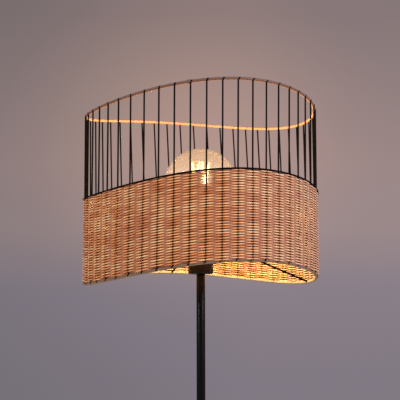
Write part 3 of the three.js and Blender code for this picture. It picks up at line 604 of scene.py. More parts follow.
def turned(profile, sides=96):
    """A turned piece from [radius, height] pairs. It closes on itself or starts and ends on the axis."""
    profile = np.asarray(profile, float)
    radii = np.tile(profile[:, 0], (sides, 1))
    heights = np.tile(profile[:, 1], (sides, 1))
    on_axis = profile[0, 0] == 0 and profile[-1, 0] == 0
    return ring_grid(evenly_round(sides), radii, heights, section_closed=not on_axis)


def curve_point(start, pull, end, share):
    """A point on a quadratic curve that leaves start towards pull and arrives at end."""
    return tuple(start * (1 - share) ** 2 + pull * 2 * share * (1 - share) + end * share ** 2)


def sleeve(inner, outer, low, high):
    """The profile of a plain tube or ring, as [radius, height] pairs."""
    return [(inner, low), (outer, low), (outer, high), (inner, high)]


LONGEST_EASE = 0.45
SHORTEST_EASE = 1e-6


def eased(profile, radius, steps=3):
    """Rounds each corner of a profile by about a radius. Points on the axis stay as they are."""
    made = []
    for index, corner in enumerate(profile):
        here = Vector(corner)
        before = Vector(profile[index - 1]) - here
        after = Vector(profile[(index + 1) % len(profile)]) - here
        reach = min(radius, before.length * LONGEST_EASE, after.length * LONGEST_EASE)
        if here.x == 0 or reach < SHORTEST_EASE:
            made.append(tuple(here))
            continue
        start, end = here + before.normalized() * reach, here + after.normalized() * reach
        made.extend(curve_point(start, here, end, step / steps) for step in range(steps + 1))
    return made


print("turned pieces ready")

# %% Round wires
WIRE_SIDES = 12
WIRE_CHAMFER = 0.3


def wire(path, radius, sides=WIRE_SIDES):
    """A round wire through the points of a nearly straight path, with small chamfers at its ends."""
    path = [Vector(point) for point in path]
    chamfer = radius * WIRE_CHAMFER
    first, last = (path[1] - path[0]).normalized(), (path[-1] - path[-2]).normalized()
    stations = [(path[0], radius - chamfer), (path[0] + first * chamfer, radius)]
    stations += [(point, radius) for point in path[1:-1]]
    stations += [(path[-1] - last * chamfer, radius), (path[-1], radius - chamfer)]
    turn = (path[-1] - path[0]).to_track_quat("Z", "Y").to_matrix()
    section = round_section(1, sides)
    rings = []
    for centre, size in stations:
        rings.append([centre + turn @ Vector((size * x, size * y, 0)) for x, y in section])
    travel = [0.0]
    for (before, _), (after, _) in zip(stations, stations[1:]):
        travel.append(travel[-1] + (after - before).length)
    across = np.arange(sides + 1) * radius * FULL_TURN / sides
    return grid(np.array(rings, float), np.array(travel), across)


def polar(radius, angle, height):
    """A point at a distance from the lamp's axis, an azimuth and a height."""
    return Vector((radius * math.cos(angle), radius * math.sin(angle), height))


print("wires ready")

# %% [markdown]
# ## The waved rims
# The shade's three rims are the same curve at three heights. Seen from above it is a circle; seen
# from the side it rises twice and falls twice, as a cosine does over two waves. A second cosine,
# with a single wave, leans the whole shade a little to one side, as it hangs in the photograph. One
# function gives the height at any angle, and everything on the shade asks it.

# %% The waved rims
RING_STEPS = 392


def rim_height(angle, rise=0.0):
    """Height of the bottom rim's wire at an angle, or of a line that runs at a rise above it."""
    wave = -RIM_WAVE * np.cos(WAVES * (angle - LOW_POINT))
    lean = RIM_LEAN * np.cos(angle - HIGH_SIDE)
    return RIM_MIDDLE + rise + wave + lean


def ring_wire(radius, rise):
    """A wire ring that follows the waved rim."""
    angles = evenly_round(RING_STEPS)
    section = round_section(WIRE_RADIUS, WIRE_SIDES)
    radii = radius + np.tile(section[:, 0], (RING_STEPS, 1))
    heights = rim_height(angles, rise)[:, None] + section[:, 1]
    return ring_grid(angles, radii, heights)


highest = rim_height(np.linspace(0, FULL_TURN, RING_STEPS)).max()
print("bottom rim rises to:", round(float(highest), 4))

# %% [markdown]
# ## Wires
# The cage is welded from thin uprights and a band ring on their outer side. The rim rings sit just
# inside the uprights, so on the outside each upright shows as a black tick across the rim's binding.
# An upright is nearly straight, but its foot and its head bend aside at the rims. In a hand-made
# cage the uprights aren't quite evenly spaced: here they turn a little with height, and a slow sway
# runs round the shade. Wires this thin need no edge work, only enough sides to look round.

# %% Where the uprights run
RING_SETBACK = 1.9 * MM
UPRIGHT_RADIUS = 1.35 * MM
ANKLE_RISE = 2.2 * MM
FOOT_OVERLAP = 1.3 * MM
FOOT_BEND = -2.4 * MM
NECK_DROP = 2.4 * MM
HEAD_OVERLAP = 2.0 * MM
HEAD_BEND = 3.2 * MM
HEAD_TOWARDS = math.radians(320)
BAND_RING_OFFSET = 2.2 * MM
FIRST_UPRIGHT = math.radians(263)
FOOT_TURN = math.radians(-0.5)
TOP_TURN = math.radians(1.2)
BAND_SWAY = math.radians(2.4)
TOP_SWAY = math.radians(1.4)
SWAY_TOWARDS = math.radians(250)


def upright_angle(number, rise):
    """Azimuth of an upright at a rise. Numbers between two uprights give the places between them."""
    even = FIRST_UPRIGHT + number * BAY
    below = np.maximum(0, BAND_RISE - rise) / BAND_RISE
    above = np.maximum(0, rise - BAND_RISE) / (SHADE_RISE - BAND_RISE)
    turn = FOOT_TURN * below + TOP_TURN * above
    sway = BAND_SWAY + (TOP_SWAY - BAND_SWAY) * above
    return even + turn + sway * np.cos(even - SWAY_TOWARDS)


def on_upright(number, rise):
    """A point on an upright's centre line."""
    angle = float(upright_angle(number, rise))
    return polar(SHADE_RADIUS, angle, float(rim_height(angle, rise)))


def upright_path(number):
    """An upright's centre line: it bends at both rims and at the band ring."""
    foot_angle = float(upright_angle(number, 0)) + FOOT_BEND / SHADE_RADIUS
    foot = polar(SHADE_RADIUS, foot_angle, float(rim_height(foot_angle, -FOOT_OVERLAP)))
    angle = float(upright_angle(number, SHADE_RISE))
    head_angle = angle + HEAD_BEND / SHADE_RADIUS * math.cos(angle - HEAD_TOWARDS)
    head = polar(SHADE_RADIUS, head_angle, float(rim_height(head_angle, SHADE_RISE + HEAD_OVERLAP)))
    straight = [on_upright(number, rise) for rise in (ANKLE_RISE, BAND_RISE, SHADE_RISE - NECK_DROP)]
    return [foot, *straight, head]


print("first upright at degrees:", round(math.degrees(float(upright_angle(0, 0))), 1))

# %% The cage and the rim wires
UPRIGHT_SIDES = 10
cage_grids = [ring_wire(SHADE_RADIUS + BAND_RING_OFFSET, BAND_RISE)]
for number in range(UPRIGHTS):
    cage_grids.append(wire(upright_path(number), UPRIGHT_RADIUS, UPRIGHT_SIDES))
build("cage_wires", cage_grids, matt_coat, "shade", ["wire_cage"])
for name, rise, node in (("bottom_rim_wire", 0, "bottom_ring"), ("top_rim_wire", SHADE_RISE, "top_ring")):
    build(name, [ring_wire(SHADE_RADIUS - RING_SETBACK, rise)], matt_coat, "shade", [node])
print("uprights:", UPRIGHTS)

# %% The four arms
ARMS = 4
FIRST_ARM = math.radians(16)
ARM_WIRE_RADIUS = 1.7 * MM
fitter_centre, fitter_size = middle_and_size("fitter_ring")
for index, angle in enumerate(evenly_round(ARMS, FIRST_ARM)):
    hub = polar(fitter_size.x / 2, angle, fitter_centre.z)
    rim = polar(SHADE_RADIUS - RING_SETBACK, angle, float(rim_height(angle)))
    arm = wire([hub, rim], ARM_WIRE_RADIUS)
    build(f"arm_wire_{index + 1}", [arm], matt_coat, "shade", [f"spider_arm_{index + 1}"])
print("arms:", ARMS)

# %% [markdown]
# ## The woven band
# A basket with an odd number of uprights can be woven with one endless strand: it passes outside
# one upright and inside the next, and after each turn it has swapped sides by itself. So the band
# is one long spiral. A squared-off cosine swings it out and in, once for every two uprights, and
# its stations stand closest at the uprights, where the narrow marks need them. Small drifts in
# height, thickness and swing, each a sum of a few slow waves, keep it from looking machined.

# %% The strand's run
ROWS = 68
BAND_START = 0.8 * MM
BAND_GAP = 0.2 * MM
BAY_STATIONS = (0, 0.07, 0.22, 0.38, 0.5, 0.62, 0.78, 0.93)
SQUARENESS = 2.0
SWING_REACH = WIRE_RADIUS
HEIGHT_DRIFT = 0.06 * MM
DRIFT_SHARE = 0.06
HEIGHT_WAVES = (0.21, 0.137, 0.083)
THICKNESS_WAVES = (0.47, 0.19, 0.061)
SWING_WAVES = (0.31, 0.117)


def drift(place, wavelengths, seed):
    """A slow, smooth wander between about minus one and one."""
    pick = np.random.default_rng(seed)
    waves = [np.sin(FULL_TURN * (place / length + pick.random())) for length in wavelengths]
    return sum(waves) / len(waves)


band_end = BAND_RISE - WIRE_RADIUS - BAND_GAP
row_pitch = (band_end - BAND_START) / ROWS
crossing = np.append((np.arange(ROWS * UPRIGHTS)[:, None] + BAY_STATIONS).ravel(), ROWS * UPRIGHTS)
strand_rise = BAND_START + row_pitch * (crossing / UPRIGHTS + 0.5)
strand_angles = upright_angle(crossing, strand_rise)
strand_length = crossing * BAY_LENGTH
outward = np.cos(math.pi * crossing)
swing = np.tanh(SQUARENESS * outward) / math.tanh(SQUARENESS)
wander = HEIGHT_DRIFT * drift(strand_length, HEIGHT_WAVES, seed=4)
thickness = 1 + DRIFT_SHARE * drift(strand_length, THICKNESS_WAVES, seed=7)
reach = SWING_REACH * (1 + DRIFT_SHARE * drift(strand_length, SWING_WAVES, seed=9))
centre_radius = SHADE_RADIUS + reach * swing
centre_height = rim_height(strand_angles, strand_rise) + wander
print("rows:", ROWS, "pitch in mm:", round(row_pitch / MM, 3))
print("length of the strand in m:", round(float(strand_length[-1]), 1))

# %% [markdown]
# ## The strand's section
# A strand is taller than one row's pitch, so the rows overlap and the band lets no light through.
# Where it passes outside an upright it is pressed narrow, which opens the small dark gaps that give
# the weave its pattern. In front of the bulb a few strands are drawn thin, so the filaments shine
# through between them.

# %% The strand's section
STRAND_SIDES = 6
ROW_COVER = 1.38
STRAND_DEPTH = 3.0 * MM
NARROWING = 0.37
PINCH_HALF_WIDTH = 1.4 * MM
LOOSE_ANGLE = math.radians(273)
LOOSE_RISE = 126 * MM
LOOSE_HALF_WIDTH = 8 * MM
LOOSE_HALF_HEIGHT = 13 * MM
LOOSE_SHRINK = 0.92
pinch = np.exp(-((crossing - np.round(crossing)) * BAY_LENGTH / PINCH_HALF_WIDTH) ** 2)
sideways = ((strand_angles - LOOSE_ANGLE + math.pi) % FULL_TURN - math.pi) * SHADE_RADIUS
loose = np.exp(-(sideways / LOOSE_HALF_WIDTH) ** 2 - ((strand_rise - LOOSE_RISE) / LOOSE_HALF_HEIGHT) ** 2)
narrowed = (1 - NARROWING * pinch * (outward > 0)) * (1 - LOOSE_SHRINK * loose)
strand_tall = row_pitch * ROW_COVER * thickness * narrowed
strand_deep = STRAND_DEPTH * thickness
section = round_section(0.5, STRAND_SIDES, start=0.5)
strand_radii = centre_radius[:, None] + section[:, 0] * strand_deep[:, None]
strand_heights = centre_height[:, None] + section[:, 1] * strand_tall[:, None]
strand_grid = ring_grid(strand_angles, strand_radii, strand_heights, path_closed=False, along=strand_length)
print("stations along the strand:", len(crossing))

# %% [markdown]
# ## Marks on the weave
# Shade between strands is painted into the cane's colour, and values on the mesh tell where. A
# strand gets painted shade along its upper and lower edges, most of all at the uprights. The face
# that lies in the recess against an upright gets painted shade too, and a short painted dark mark
# crosses the strand there. Midway between two uprights it gets more painted shade, and the side at
# 345 degrees, on the key light's side, is painted paler as painted light.

# %% Marks on the weave
ROUNDED_OVER = 80
EDGE_SHARPNESS = 3.2
BAY_SHADE_SHARE = 0.12
RECESS_GAIN = 2.2
RECESS_SHARPNESS = 1.5
RECESS_SHADE = 0.5
PINCH_SHADE = 0.65
BETWEEN_SHARPNESS = 6
LIT_SIDE_TOWARDS = math.radians(345)
LIT_SIDE_SHARPNESS = 2.6
# Painted shade along the strands' edges, in the recesses beside the uprights and as a dark mark at each
# upright.
edges = np.abs(2 * section[:, 1]) ** EDGE_SHARPNESS
recessed = np.clip(-RECESS_GAIN * swing[:, None] * section[:, 0], 0, 1) ** RECESS_SHARPNESS
painted_shade = edges * (BAY_SHADE_SHARE + (1 - BAY_SHADE_SHARE) * swing[:, None] ** 2)
painted_shade = np.clip(painted_shade + RECESS_SHADE * recessed + PINCH_SHADE * pinch[:, None], 0, 1)
# Painted shade midway between two uprights.
between = (1 - outward ** 2) ** BETWEEN_SHARPNESS
# Painted light: the side of the weave at 345 degrees, on the key light's side, is painted paler.
painted_light_side = np.clip(np.cos(strand_angles - LIT_SIDE_TOWARDS), 0, 1) ** LIT_SIDE_SHARPNESS
marks = {
    "painted_shade": painted_shade,
    "mid_bay_painted_shade": np.repeat(between, STRAND_SIDES),
    "painted_light_side": np.repeat(painted_light_side, STRAND_SIDES),
}
build("woven_band", [strand_grid], woven_cane, "shade", ["rattan_weave"], marks, ROUNDED_OVER)
print("marks on the weave:", list(marks))

# %% [markdown]
# ## The bound rims
# Each rim wire is bound with a narrow strip of cane, wound on the slant. The windings are geometry:
# a tube whose radius rises and falls along a helix, with a whole number of windings between two
# uprights. Inside the shade a slanted slit marks each upright, and the top rim has one small knot.
# The outer side of a binding is painted darker as painted shade, and its grooves and slits get
# painted shade too. Values on the mesh say where.

# %% The bound rims
WINDINGS_PER_BAY = 8
STEPS_PER_WINDING = 6
BINDING_SIDES = 14
BINDING_RADIUS = 2.5 * MM
STRIP_CROWN = 0.07 * MM
SLIT_DEPTH = 0.8 * MM
SLIT_HALF_WIDTH = 0.6 * MM
SLIT_SLANT = 4.7 * MM
OUTER_SIDE = math.radians(30)
OUTER_START = 0.26
OUTER_CONTRAST = 2
GROOVE_SHARPNESS = 6
GROOVE_SHADE = 0.15
KNOT_RISE = 0.9 * MM
KNOT_HALF_LENGTH = 3.2 * MM
KNOT_SETBACK = 3.0 * MM


def bound_rim(rise, knot_rise=0.0):
    """A tube round a rim wire with strips wound along it. Returns its grid and its marks."""
    steps = UPRIGHTS * WINDINGS_PER_BAY * STEPS_PER_WINDING
    bay_place = np.arange(steps)[:, None] * UPRIGHTS / steps
    around = evenly_round(BINDING_SIDES)
    inward = np.clip(-np.cos(around), 0, 1)
    winding = bay_place * WINDINGS_PER_BAY - around / FULL_TURN
    strip_place = winding - np.floor(winding)
    groove = (2 * strip_place - 1) ** GROOVE_SHARPNESS
    slant = SLIT_SLANT * (np.sin(around) + 1) / 2
    from_upright = ((bay_place + slant / BAY_LENGTH + 0.5) % 1 - 0.5) * BAY_LENGTH
    slit = np.exp(-(from_upright / SLIT_HALF_WIDTH) ** 2) * inward
    from_knot = ((bay_place + UPRIGHTS / 2) % UPRIGHTS - UPRIGHTS / 2) * BAY_LENGTH + KNOT_SETBACK
    knot = knot_rise * np.exp(-(from_knot / KNOT_HALF_LENGTH) ** 2)
    radius = BINDING_RADIUS - STRIP_CROWN * groove - SLIT_DEPTH * slit + knot
    angles = upright_angle(bay_place[:, 0], rise)
    radii = SHADE_RADIUS - RING_SETBACK + radius * np.cos(around)
    heights = rim_height(angles, rise)[:, None] + radius * np.sin(around)
    # Painted shade on the binding's outer side, and in its grooves and slits.
    outer = np.clip(0.5 + OUTER_CONTRAST * (np.cos(around - OUTER_SIDE) - OUTER_START), 0, 1)
    marks = {"painted_shade": np.clip(GROOVE_SHADE * groove + slit, 0, 1), "outer_painted_shade": np.tile(outer, (steps, 1))}
    return ring_grid(angles, radii, heights), marks


wound, marks = bound_rim(SHADE_RISE, KNOT_RISE)
build("top_binding", [wound], top_cane, "shade", ["top_ring_wrap"], marks, ROUNDED_OVER)
wound, marks = bound_rim(0)
build("bottom_binding", [wound], low_cane, "shade", ["bottom_ring_wrap"], marks, ROUNDED_OVER)
print("windings:", UPRIGHTS * WINDINGS_PER_BAY)

# %% [markdown]
# ## The lampholder and its rings
# The holder is two moulded shells, a cup below and a skirt above. The shade's fitter ring lies on
# the skirt's shoulder, and a ribbed ring screws down on it. All are turned profiles. Real mouldings
# have no sharp edges, so each profile's corners are eased before it is turned.

# %% The lampholder's cup
cup_low, cup_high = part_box("holder_cup")
HOLDER_RADIUS = cup_high.x
HOLDER_WALL = 2 * MM
HOLDER_EDGE = 2 * MM
EDGE_MIDDLE = HOLDER_EDGE * 0.3
CUP_FLOOR = 3 * MM
NIPPLE_HOLE = 5.3 * MM
MOULDED_EASE = 0.5 * MM
cup_profile = [
    (NIPPLE_HOLE, cup_low.z), (HOLDER_RADIUS - HOLDER_EDGE, cup_low.z),
    (HOLDER_RADIUS - EDGE_MIDDLE, cup_low.z + EDGE_MIDDLE),
    (HOLDER_RADIUS, cup_low.z + HOLDER_EDGE), (HOLDER_RADIUS, cup_high.z),
    (HOLDER_RADIUS - HOLDER_WALL, cup_high.z), (HOLDER_RADIUS - HOLDER_WALL, cup_low.z + CUP_FLOOR),
    (NIPPLE_HOLE, cup_low.z + CUP_FLOOR)]
cup = turned(eased(cup_profile, MOULDED_EASE))
build("lampholder_cup", [cup], moulded, "root", ["holder_cup"])
print("holder radius in mm:", round(HOLDER_RADIUS / MM, 2))

# %% The lampholder's skirt
skirt_low, skirt_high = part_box("holder_skirt")
fitter_low, fitter_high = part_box("fitter_ring")
SHOULDER_LEDGE = 1.5 * MM
SPIGOT_DEPTH = 6 * MM
SEAT_GAP = 0.3 * MM
LIP_RADIUS = 15.2 * MM
shoulder = fitter_low.z - SEAT_GAP
skirt_foot = skirt_low.z + SPIGOT_DEPTH
spigot_radius = HOLDER_RADIUS - HOLDER_WALL - SEAT_GAP
skirt_bore = HOLDER_RADIUS - 2 * HOLDER_WALL - SEAT_GAP
thread_radius = HOLDER_RADIUS - SHOULDER_LEDGE
skirt_profile = [
    (skirt_bore, skirt_low.z), (spigot_radius, skirt_low.z),
    (spigot_radius, skirt_foot), (HOLDER_RADIUS, skirt_foot),
    (HOLDER_RADIUS, shoulder), (thread_radius, shoulder), (thread_radius, skirt_high.z),
    (LIP_RADIUS, skirt_high.z), (LIP_RADIUS, skirt_high.z - HOLDER_WALL),
    (skirt_bore, skirt_high.z - HOLDER_WALL)]
skirt = turned(eased(skirt_profile, MOULDED_EASE))
build("lampholder_skirt", [skirt], moulded, "root", ["holder_skirt"])
print("shoulder at height:", round(shoulder, 4))

# %% The clamp ring and the fitter
ring_low, ring_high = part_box("shade_ring")
RIBS = 30
RIB_HEIGHT = 0.6 * MM
RIB_STEPS = 12
RIB_EDGE = 2
RING_NECK_RADIUS = 24 * MM
FLANGE = 2.5 * MM
THREAD_PLAY = 0.5 * MM
RING_EASE = 0.4 * MM
FITTER_EASE = 0.6 * MM
ring_bore = thread_radius + THREAD_PLAY
flange_top = ring_low.z + FLANGE
ring_profile = np.array(eased([
    (ring_bore, ring_low.z), (ring_high.x - RIB_HEIGHT, ring_low.z), (ring_high.x - RIB_HEIGHT, flange_top),
    (RING_NECK_RADIUS, flange_top), (RING_NECK_RADIUS, ring_high.z), (ring_bore, ring_high.z)], RING_EASE))
rib_angles = evenly_round(RIBS * RIB_STEPS)
rib_rise = RIB_HEIGHT * np.clip(RIB_EDGE * np.cos(RIBS * rib_angles), -1, 1)[:, None]
on_flange = (ring_profile[:, 0] > RING_NECK_RADIUS + MM).astype(float)
ring_radii = ring_profile[:, 0] + (rib_rise + RIB_HEIGHT) / 2 * on_flange
ring_heights = np.tile(ring_profile[:, 1], (len(rib_angles), 1))
ribbed = ring_grid(rib_angles, ring_radii, ring_heights)
build("clamp_ring", [ribbed], moulded, "ring", ["shade_ring"])

washer = turned(eased(sleeve(ring_bore, fitter_high.x, fitter_low.z, fitter_high.z), FITTER_EASE))
build("fitter", [washer], black_coat, "shade", ["fitter_ring"])
print("ribs:", RIBS)

# %% [markdown]
# ## The globe bulb
# The glass is a thin wall: the profile runs down the outside, round the neck's edge and back up
# the inside. A circle's arc gives the globe, and a quadratic curve leads it into the neck, as glass
# flows when it is blown. The screw cap's thread is a helix, so its profile changes with the angle.

# %% The globe
glass_low, glass_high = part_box("bulb_glass")
cap_low, cap_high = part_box("bulb_cap")
GLOBE_RADIUS = 62.5 * MM
GLOBE_SIDES = 128
GLOBE_POINTS = 40
SHOULDER_POINTS = 13
GLASS_WALL = 0.8 * MM
NECK_JOIN_RADIUS = 27 * MM
SHOULDER_RADIUS = 18 * MM
SHOULDER_RISE = 8 * MM
NECK_RADIUS = 12.3 * MM
globe_centre = glass_high.z - GLOBE_RADIUS


def globe_wall(inset):
    """The globe's wall from its top down to the foot of its neck, as [radius, height] pairs."""
    radius, join = GLOBE_RADIUS - inset, NECK_JOIN_RADIUS - inset
    last = -math.acos(join / radius)
    turns = np.linspace(math.pi / 2, last, GLOBE_POINTS)
    wall = [(radius * math.cos(turn), globe_centre + radius * math.sin(turn)) for turn in turns]
    wall[0] = (0, globe_centre + radius)
    start, end = Vector(wall[-1]), Vector((NECK_RADIUS - inset, cap_high.z))
    pull = Vector((SHOULDER_RADIUS - inset, cap_high.z + SHOULDER_RISE))
    wall.extend(curve_point(start, pull, end, share) for share in np.linspace(0, 1, SHOULDER_POINTS)[1:])
    wall.append((NECK_RADIUS - inset, glass_low.z))
    return wall


globe_profile = globe_wall(0) + globe_wall(GLASS_WALL)[::-1]
globe_wall_grid = turned(globe_profile, GLOBE_SIDES)
globe = build("globe", [globe_wall_grid], globe_glass, "bulb", ["bulb_glass"])
globe.visible_shadow = False
print("globe centre:", round(globe_centre, 4))

# %% The screw cap
CAP_THREAD_PITCH = 3.6 * MM
CAP_THREAD_DEPTH = 0.9 * MM
CAP_WALL = 0.5 * MM
CAP_LIP = 10 * MM
CAP_FOOT = 2 * MM
CAP_PLAIN = 2.5 * MM
CAP_SIDES = 72
CAP_LEVELS = 60
cap_turns = evenly_round(CAP_SIDES)
cap_rise = np.linspace(cap_low.z + CAP_FOOT, cap_high.z, CAP_LEVELS)
cap_phase = cap_rise / CAP_THREAD_PITCH - cap_turns[:, None] / FULL_TURN
threaded = np.where(cap_rise < cap_high.z - CAP_PLAIN, 0.5 - 0.5 * np.cos(FULL_TURN * cap_phase), 0)
outer_wall = cap_high.x - CAP_THREAD_DEPTH * threaded
foot = np.full((CAP_SIDES, 1), CAP_LIP)
cap_radii = np.hstack([foot, outer_wall, outer_wall[:, ::-1] - CAP_WALL, foot])
wall_heights = np.append(np.append(cap_low.z, cap_rise), np.append(cap_rise[::-1], cap_low.z + CAP_WALL))
cap_heights = np.tile(wall_heights, (CAP_SIDES, 1))
cap = ring_grid(cap_turns, cap_radii, cap_heights)
build("screw_cap", [cap], cap_metal, "bulb", ["bulb_cap"])
print("cap thread pitch in mm:", round(CAP_THREAD_PITCH / MM, 2))

# %% [markdown]
# ## Stem and filaments
# Inside, a glass stem carries two wire crowns, and four lit sticks lean outwards between them.
# The sticks are the brightest thing in the picture. Their glow is emission on the material, so it
# belongs to the lamp and not to the studio. The camera sees them, also through glass, but they don't
# light other surfaces or show in their gloss, because sources this thin give bright speckles.

# %% The stem
stem_low, stem_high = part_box("bulb_stem")
STEM_RADIUS = 3 * MM
STEM_SIDES = 48
STEM_EASE = 2 * MM
FLARE_PLAY = 1.5 * MM
FLARE_EDGE = 1.2 * MM
WAIST_RADIUS = 4.2 * MM
WAIST_RISE = 16 * MM
SHAFT_RISE = 32 * MM
TIP_RADIUS = 1.5 * MM
TIP_DROP = 3 * MM
flare_radius = NECK_RADIUS - FLARE_PLAY
stem_profile = [
    (0, stem_low.z), (flare_radius, stem_low.z), (flare_radius, stem_low.z + FLARE_EDGE),
    (WAIST_RADIUS, stem_low.z + WAIST_RISE), (STEM_RADIUS, stem_low.z + SHAFT_RISE),
    (STEM_RADIUS, stem_high.z - TIP_DROP), (TIP_RADIUS, stem_high.z), (0, stem_high.z)]
drawn = turned(eased(stem_profile, STEM_EASE), STEM_SIDES)
stem = build("glass_stem", [drawn], stem_glass, "bulb", ["bulb_stem"])
stem.visible_shadow = False
print("stem top:", round(stem_high.z, 4))

# %% Crowns and filaments
FILAMENTS = 4
FIRST_FILAMENT = math.radians(15)
FILAMENT_RADIUS = 1 * MM
FILAMENT_SETBACK = 0.8 * MM
CROWN_WIRE = 0.5 * MM
CROWN_WIRE_SIDES = 8
HUB_WALL = 1.2 * MM
HUB_SIDES = 32
SMALL_EASE = 0.3 * MM
crown_rings = {"lower": 7 * MM, "upper": 15 * MM}
crown_heights = {}
for level, ring_radius in crown_rings.items():
    crown_low, crown_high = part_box(f"filament_crown_{level}")
    crown_heights[level] = (crown_low.z + crown_high.z) / 2
    hub = sleeve(STEM_RADIUS + SEAT_GAP, STEM_RADIUS + HUB_WALL, crown_low.z, crown_high.z)
    crown = [turned(eased(hub, SMALL_EASE), HUB_SIDES)]
    for angle in evenly_round(FILAMENTS, FIRST_FILAMENT):
        hub_end = polar(STEM_RADIUS + HUB_WALL / 2, angle, crown_heights[level])
        far_end = polar(ring_radius + FILAMENT_RADIUS, angle, crown_heights[level])
        crown.append(wire([hub_end, far_end], CROWN_WIRE, CROWN_WIRE_SIDES))
    build(f"crown_{level}", crown, zinc, "bulb", [f"filament_crown_{level}"])
for index, angle in enumerate(evenly_round(FILAMENTS, FIRST_FILAMENT)):
    foot = polar(crown_rings["lower"], angle, crown_heights["lower"] + FILAMENT_SETBACK)
    head = polar(crown_rings["upper"], angle, crown_heights["upper"] - FILAMENT_SETBACK)
    rod = [wire([foot, head], FILAMENT_RADIUS)]
    stick = build(f"lit_stick_{index + 1}", rod, lit_filament, "bulb", [f"filament_{index + 1}"])
    stick.visible_diffuse = False
    stick.visible_glossy = False
print("filaments from", round(crown_heights["lower"], 4), "to", round(crown_heights["upper"], 4))

# %% [markdown]
# ## The bulb's light
# A renderer finds four thin glowing sticks only by luck, which leaves speckles on the cane. So a
# round light that fills most of the globe does the lighting. The camera doesn't see it, nor do glass
# and mirrors. Its colour is yellowish by itself, and the cane, which absorbs blue and green, turns it
# to amber.

# %% The bulb's light
GLOW_COLOUR = (0.95, 1.07, 0.58)
GLOW_WATTS = 7.0
GLOW_RADIUS = 45 * MM
glow_data = bpy.data.lights.new("bulb_glow", "POINT")
glow_data.energy = GLOW_WATTS
glow_data.color = GLOW_COLOUR
glow_data.shadow_soft_size = GLOW_RADIUS
glow = bpy.data.objects.new("bulb_glow", glow_data)
glow.location = (0, 0, (crown_heights["lower"] + crown_heights["upper"]) / 2)
glow.visible_camera = False
glow.visible_transmission = False
glow.visible_glossy = False
scene.collection.objects.link(glow)
print("glow at height:", round(glow.location.z, 4))

# %% [markdown]
# ## Pole and base
# The pole is two tubes that meet in a hardly visible joint. A collar covers its foot. The base is a
# pressed cover with a rounded edge and a slight crown, which stops its top from looking dished.

# %% The pole
POLE_WALL = 1.2 * MM
POLE_RADIUS = 7.5 * MM
POLE_SIDES = 64
COLLAR_CHAMFER = 2 * MM
COLLAR_EASE = 0.8 * MM
for node, name in (("pole_lower", "lower_tube"), ("pole_upper", "upper_tube")):
    low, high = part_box(node)
    tube = turned(eased(sleeve(high.x - POLE_WALL, high.x, low.z, high.z), SMALL_EASE), POLE_SIDES)
    build(name, [tube], black_coat, "root", [node])
collar_low, collar_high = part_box("pole_collar")
collar_bore = POLE_RADIUS + SEAT_GAP
collar_profile = [
    (collar_bore, collar_low.z), (collar_high.x, collar_low.z),
    (collar_high.x, collar_high.z - COLLAR_CHAMFER), (collar_high.x - COLLAR_CHAMFER, collar_high.z),
    (collar_bore, collar_high.z)]
collar = turned(eased(collar_profile, COLLAR_EASE), POLE_SIDES)
build("collar", [collar], black_coat, "root", ["pole_collar"])
print("pole radius in mm:", POLE_RADIUS / MM)

# %% The base
cover_low, cover_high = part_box("base_cover")
BASE_RADIUS = 140 * MM
BASE_EDGE = 7 * MM
COVER_WALL = 1.6 * MM
CROWN_RISE = 2.5 * MM
LAND_RADIUS = 18 * MM
COVER_SIDES = 192
EDGE_POINTS = 10


def cover_side(inset):
    """One face of the pressed cover, from its foot up round the edge to the land at the pole."""
    centre = (BASE_RADIUS - BASE_EDGE, cover_high.z - CROWN_RISE - BASE_EDGE)
    radius = BASE_EDGE - inset
    side = [(BASE_RADIUS - inset, cover_low.z)]
    for turn in np.linspace(0, math.pi / 2, EDGE_POINTS):
        side.append((centre[0] + radius * math.cos(turn), centre[1] + radius * math.sin(turn)))
    side.append((LAND_RADIUS - inset, cover_high.z - inset))
    side.append((NIPPLE_HOLE, cover_high.z - inset))
    return side


cover_profile = cover_side(0) + cover_side(COVER_WALL)[::-1]
cover = turned(cover_profile, COVER_SIDES)
build("pressed_cover", [cover], black_coat, "root", ["base_cover"])
print("base radius in mm:", round(BASE_RADIUS / MM, 1))

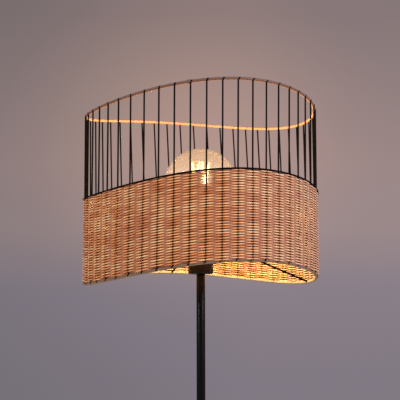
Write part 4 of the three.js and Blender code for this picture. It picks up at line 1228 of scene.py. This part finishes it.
# %% The gland in the base's back
GLAND_STEPS_MM = [(2.5, 0), (4.2, 0), (4.2, 4.9), (5.8, 4.9), (5.8, 6.1), (4.4, 7.6), (2.5, 7.6)]
GLAND_EASE = 0.4 * MM
GLAND_SIDES = 48
gland_centre, gland_size = middle_and_size("cable_gland")
gland_start = gland_centre.y - gland_size.y / 2
gland_profile = [(radius * MM, travel * MM) for radius, travel in GLAND_STEPS_MM]
gland_points, gland_faces, gland_spots = turned(eased(gland_profile, GLAND_EASE), GLAND_SIDES)
gland_points = [(x, gland_start + z, gland_centre.z - y) for x, y, z in gland_points]
build("gland", [(gland_points, gland_faces, gland_spots)], rubber, "root", ["cable_gland"])
print("gland length in mm:", round(gland_size.y / MM, 1))

# %% [markdown]
# ## Finishes for the frame's own pieces
# The pieces inside the lamp have the right shape already. They stay as they are, and each gets the
# finish of its real material.

# %% Finishes for the frame's own pieces
ZINC_PIECES = ["base_washer", "base_nut", "lower_nipple", "lower_bush", "pole_joiner"]
ZINC_PIECES += ["top_bush", "top_nipple", "top_nut"]
FRAME_FINISHES = [
    (rubber, ["base_pad"]),
    (cement, ["base_weight"]),
    (zinc, ZINC_PIECES),
    (sheath, ["inner_lead"]),
    (porcelain, ["contact_block"]),
    (brass, ["screw_shell", "centre_contact", "bulb_contact"]),
    (black_glass, ["bulb_insulator"]),
]
for material, nodes in FRAME_FINISHES:
    for node in nodes:
        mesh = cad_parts[node].data
        mesh.materials.clear()
        mesh.materials.append(material)
print("finishes for the frame's own pieces:", len(FRAME_FINISHES))

# %% [markdown]
# ## The floor
# A plain pale floor takes the lamp's shadow in the views that look down on it. It isn't part of the
# lamp.

# %% The floor
FLOOR_RADIUS = 9
FLOOR_SIDES = 96
FLOOR_PATCH = 1.5
FLOOR_STOPS = two_tones((0.50, 0.47, 0.47), (0.53, 0.50, 0.50))
floor_finish, floor_shader = new_finish("floor", 0.85, specular=0.2)
tint(floor_finish, floor_shader, noise(floor_finish, FLOOR_PATCH), FLOOR_STOPS)
floor_shape = bmesh.new()
bmesh.ops.create_circle(floor_shape, cap_ends=True, segments=FLOOR_SIDES, radius=FLOOR_RADIUS)
floor_mesh = bpy.data.meshes.new("floor")
floor_shape.to_mesh(floor_mesh)
floor_shape.free()
floor_mesh.materials.append(floor_finish)
floor = bpy.data.objects.new("floor", floor_mesh)
scene.collection.objects.link(floor)
print("floor radius:", FLOOR_RADIUS)

# %% [markdown]
# Last, the view layer is updated, so every piece's place is current.

bpy.context.view_layer.update()
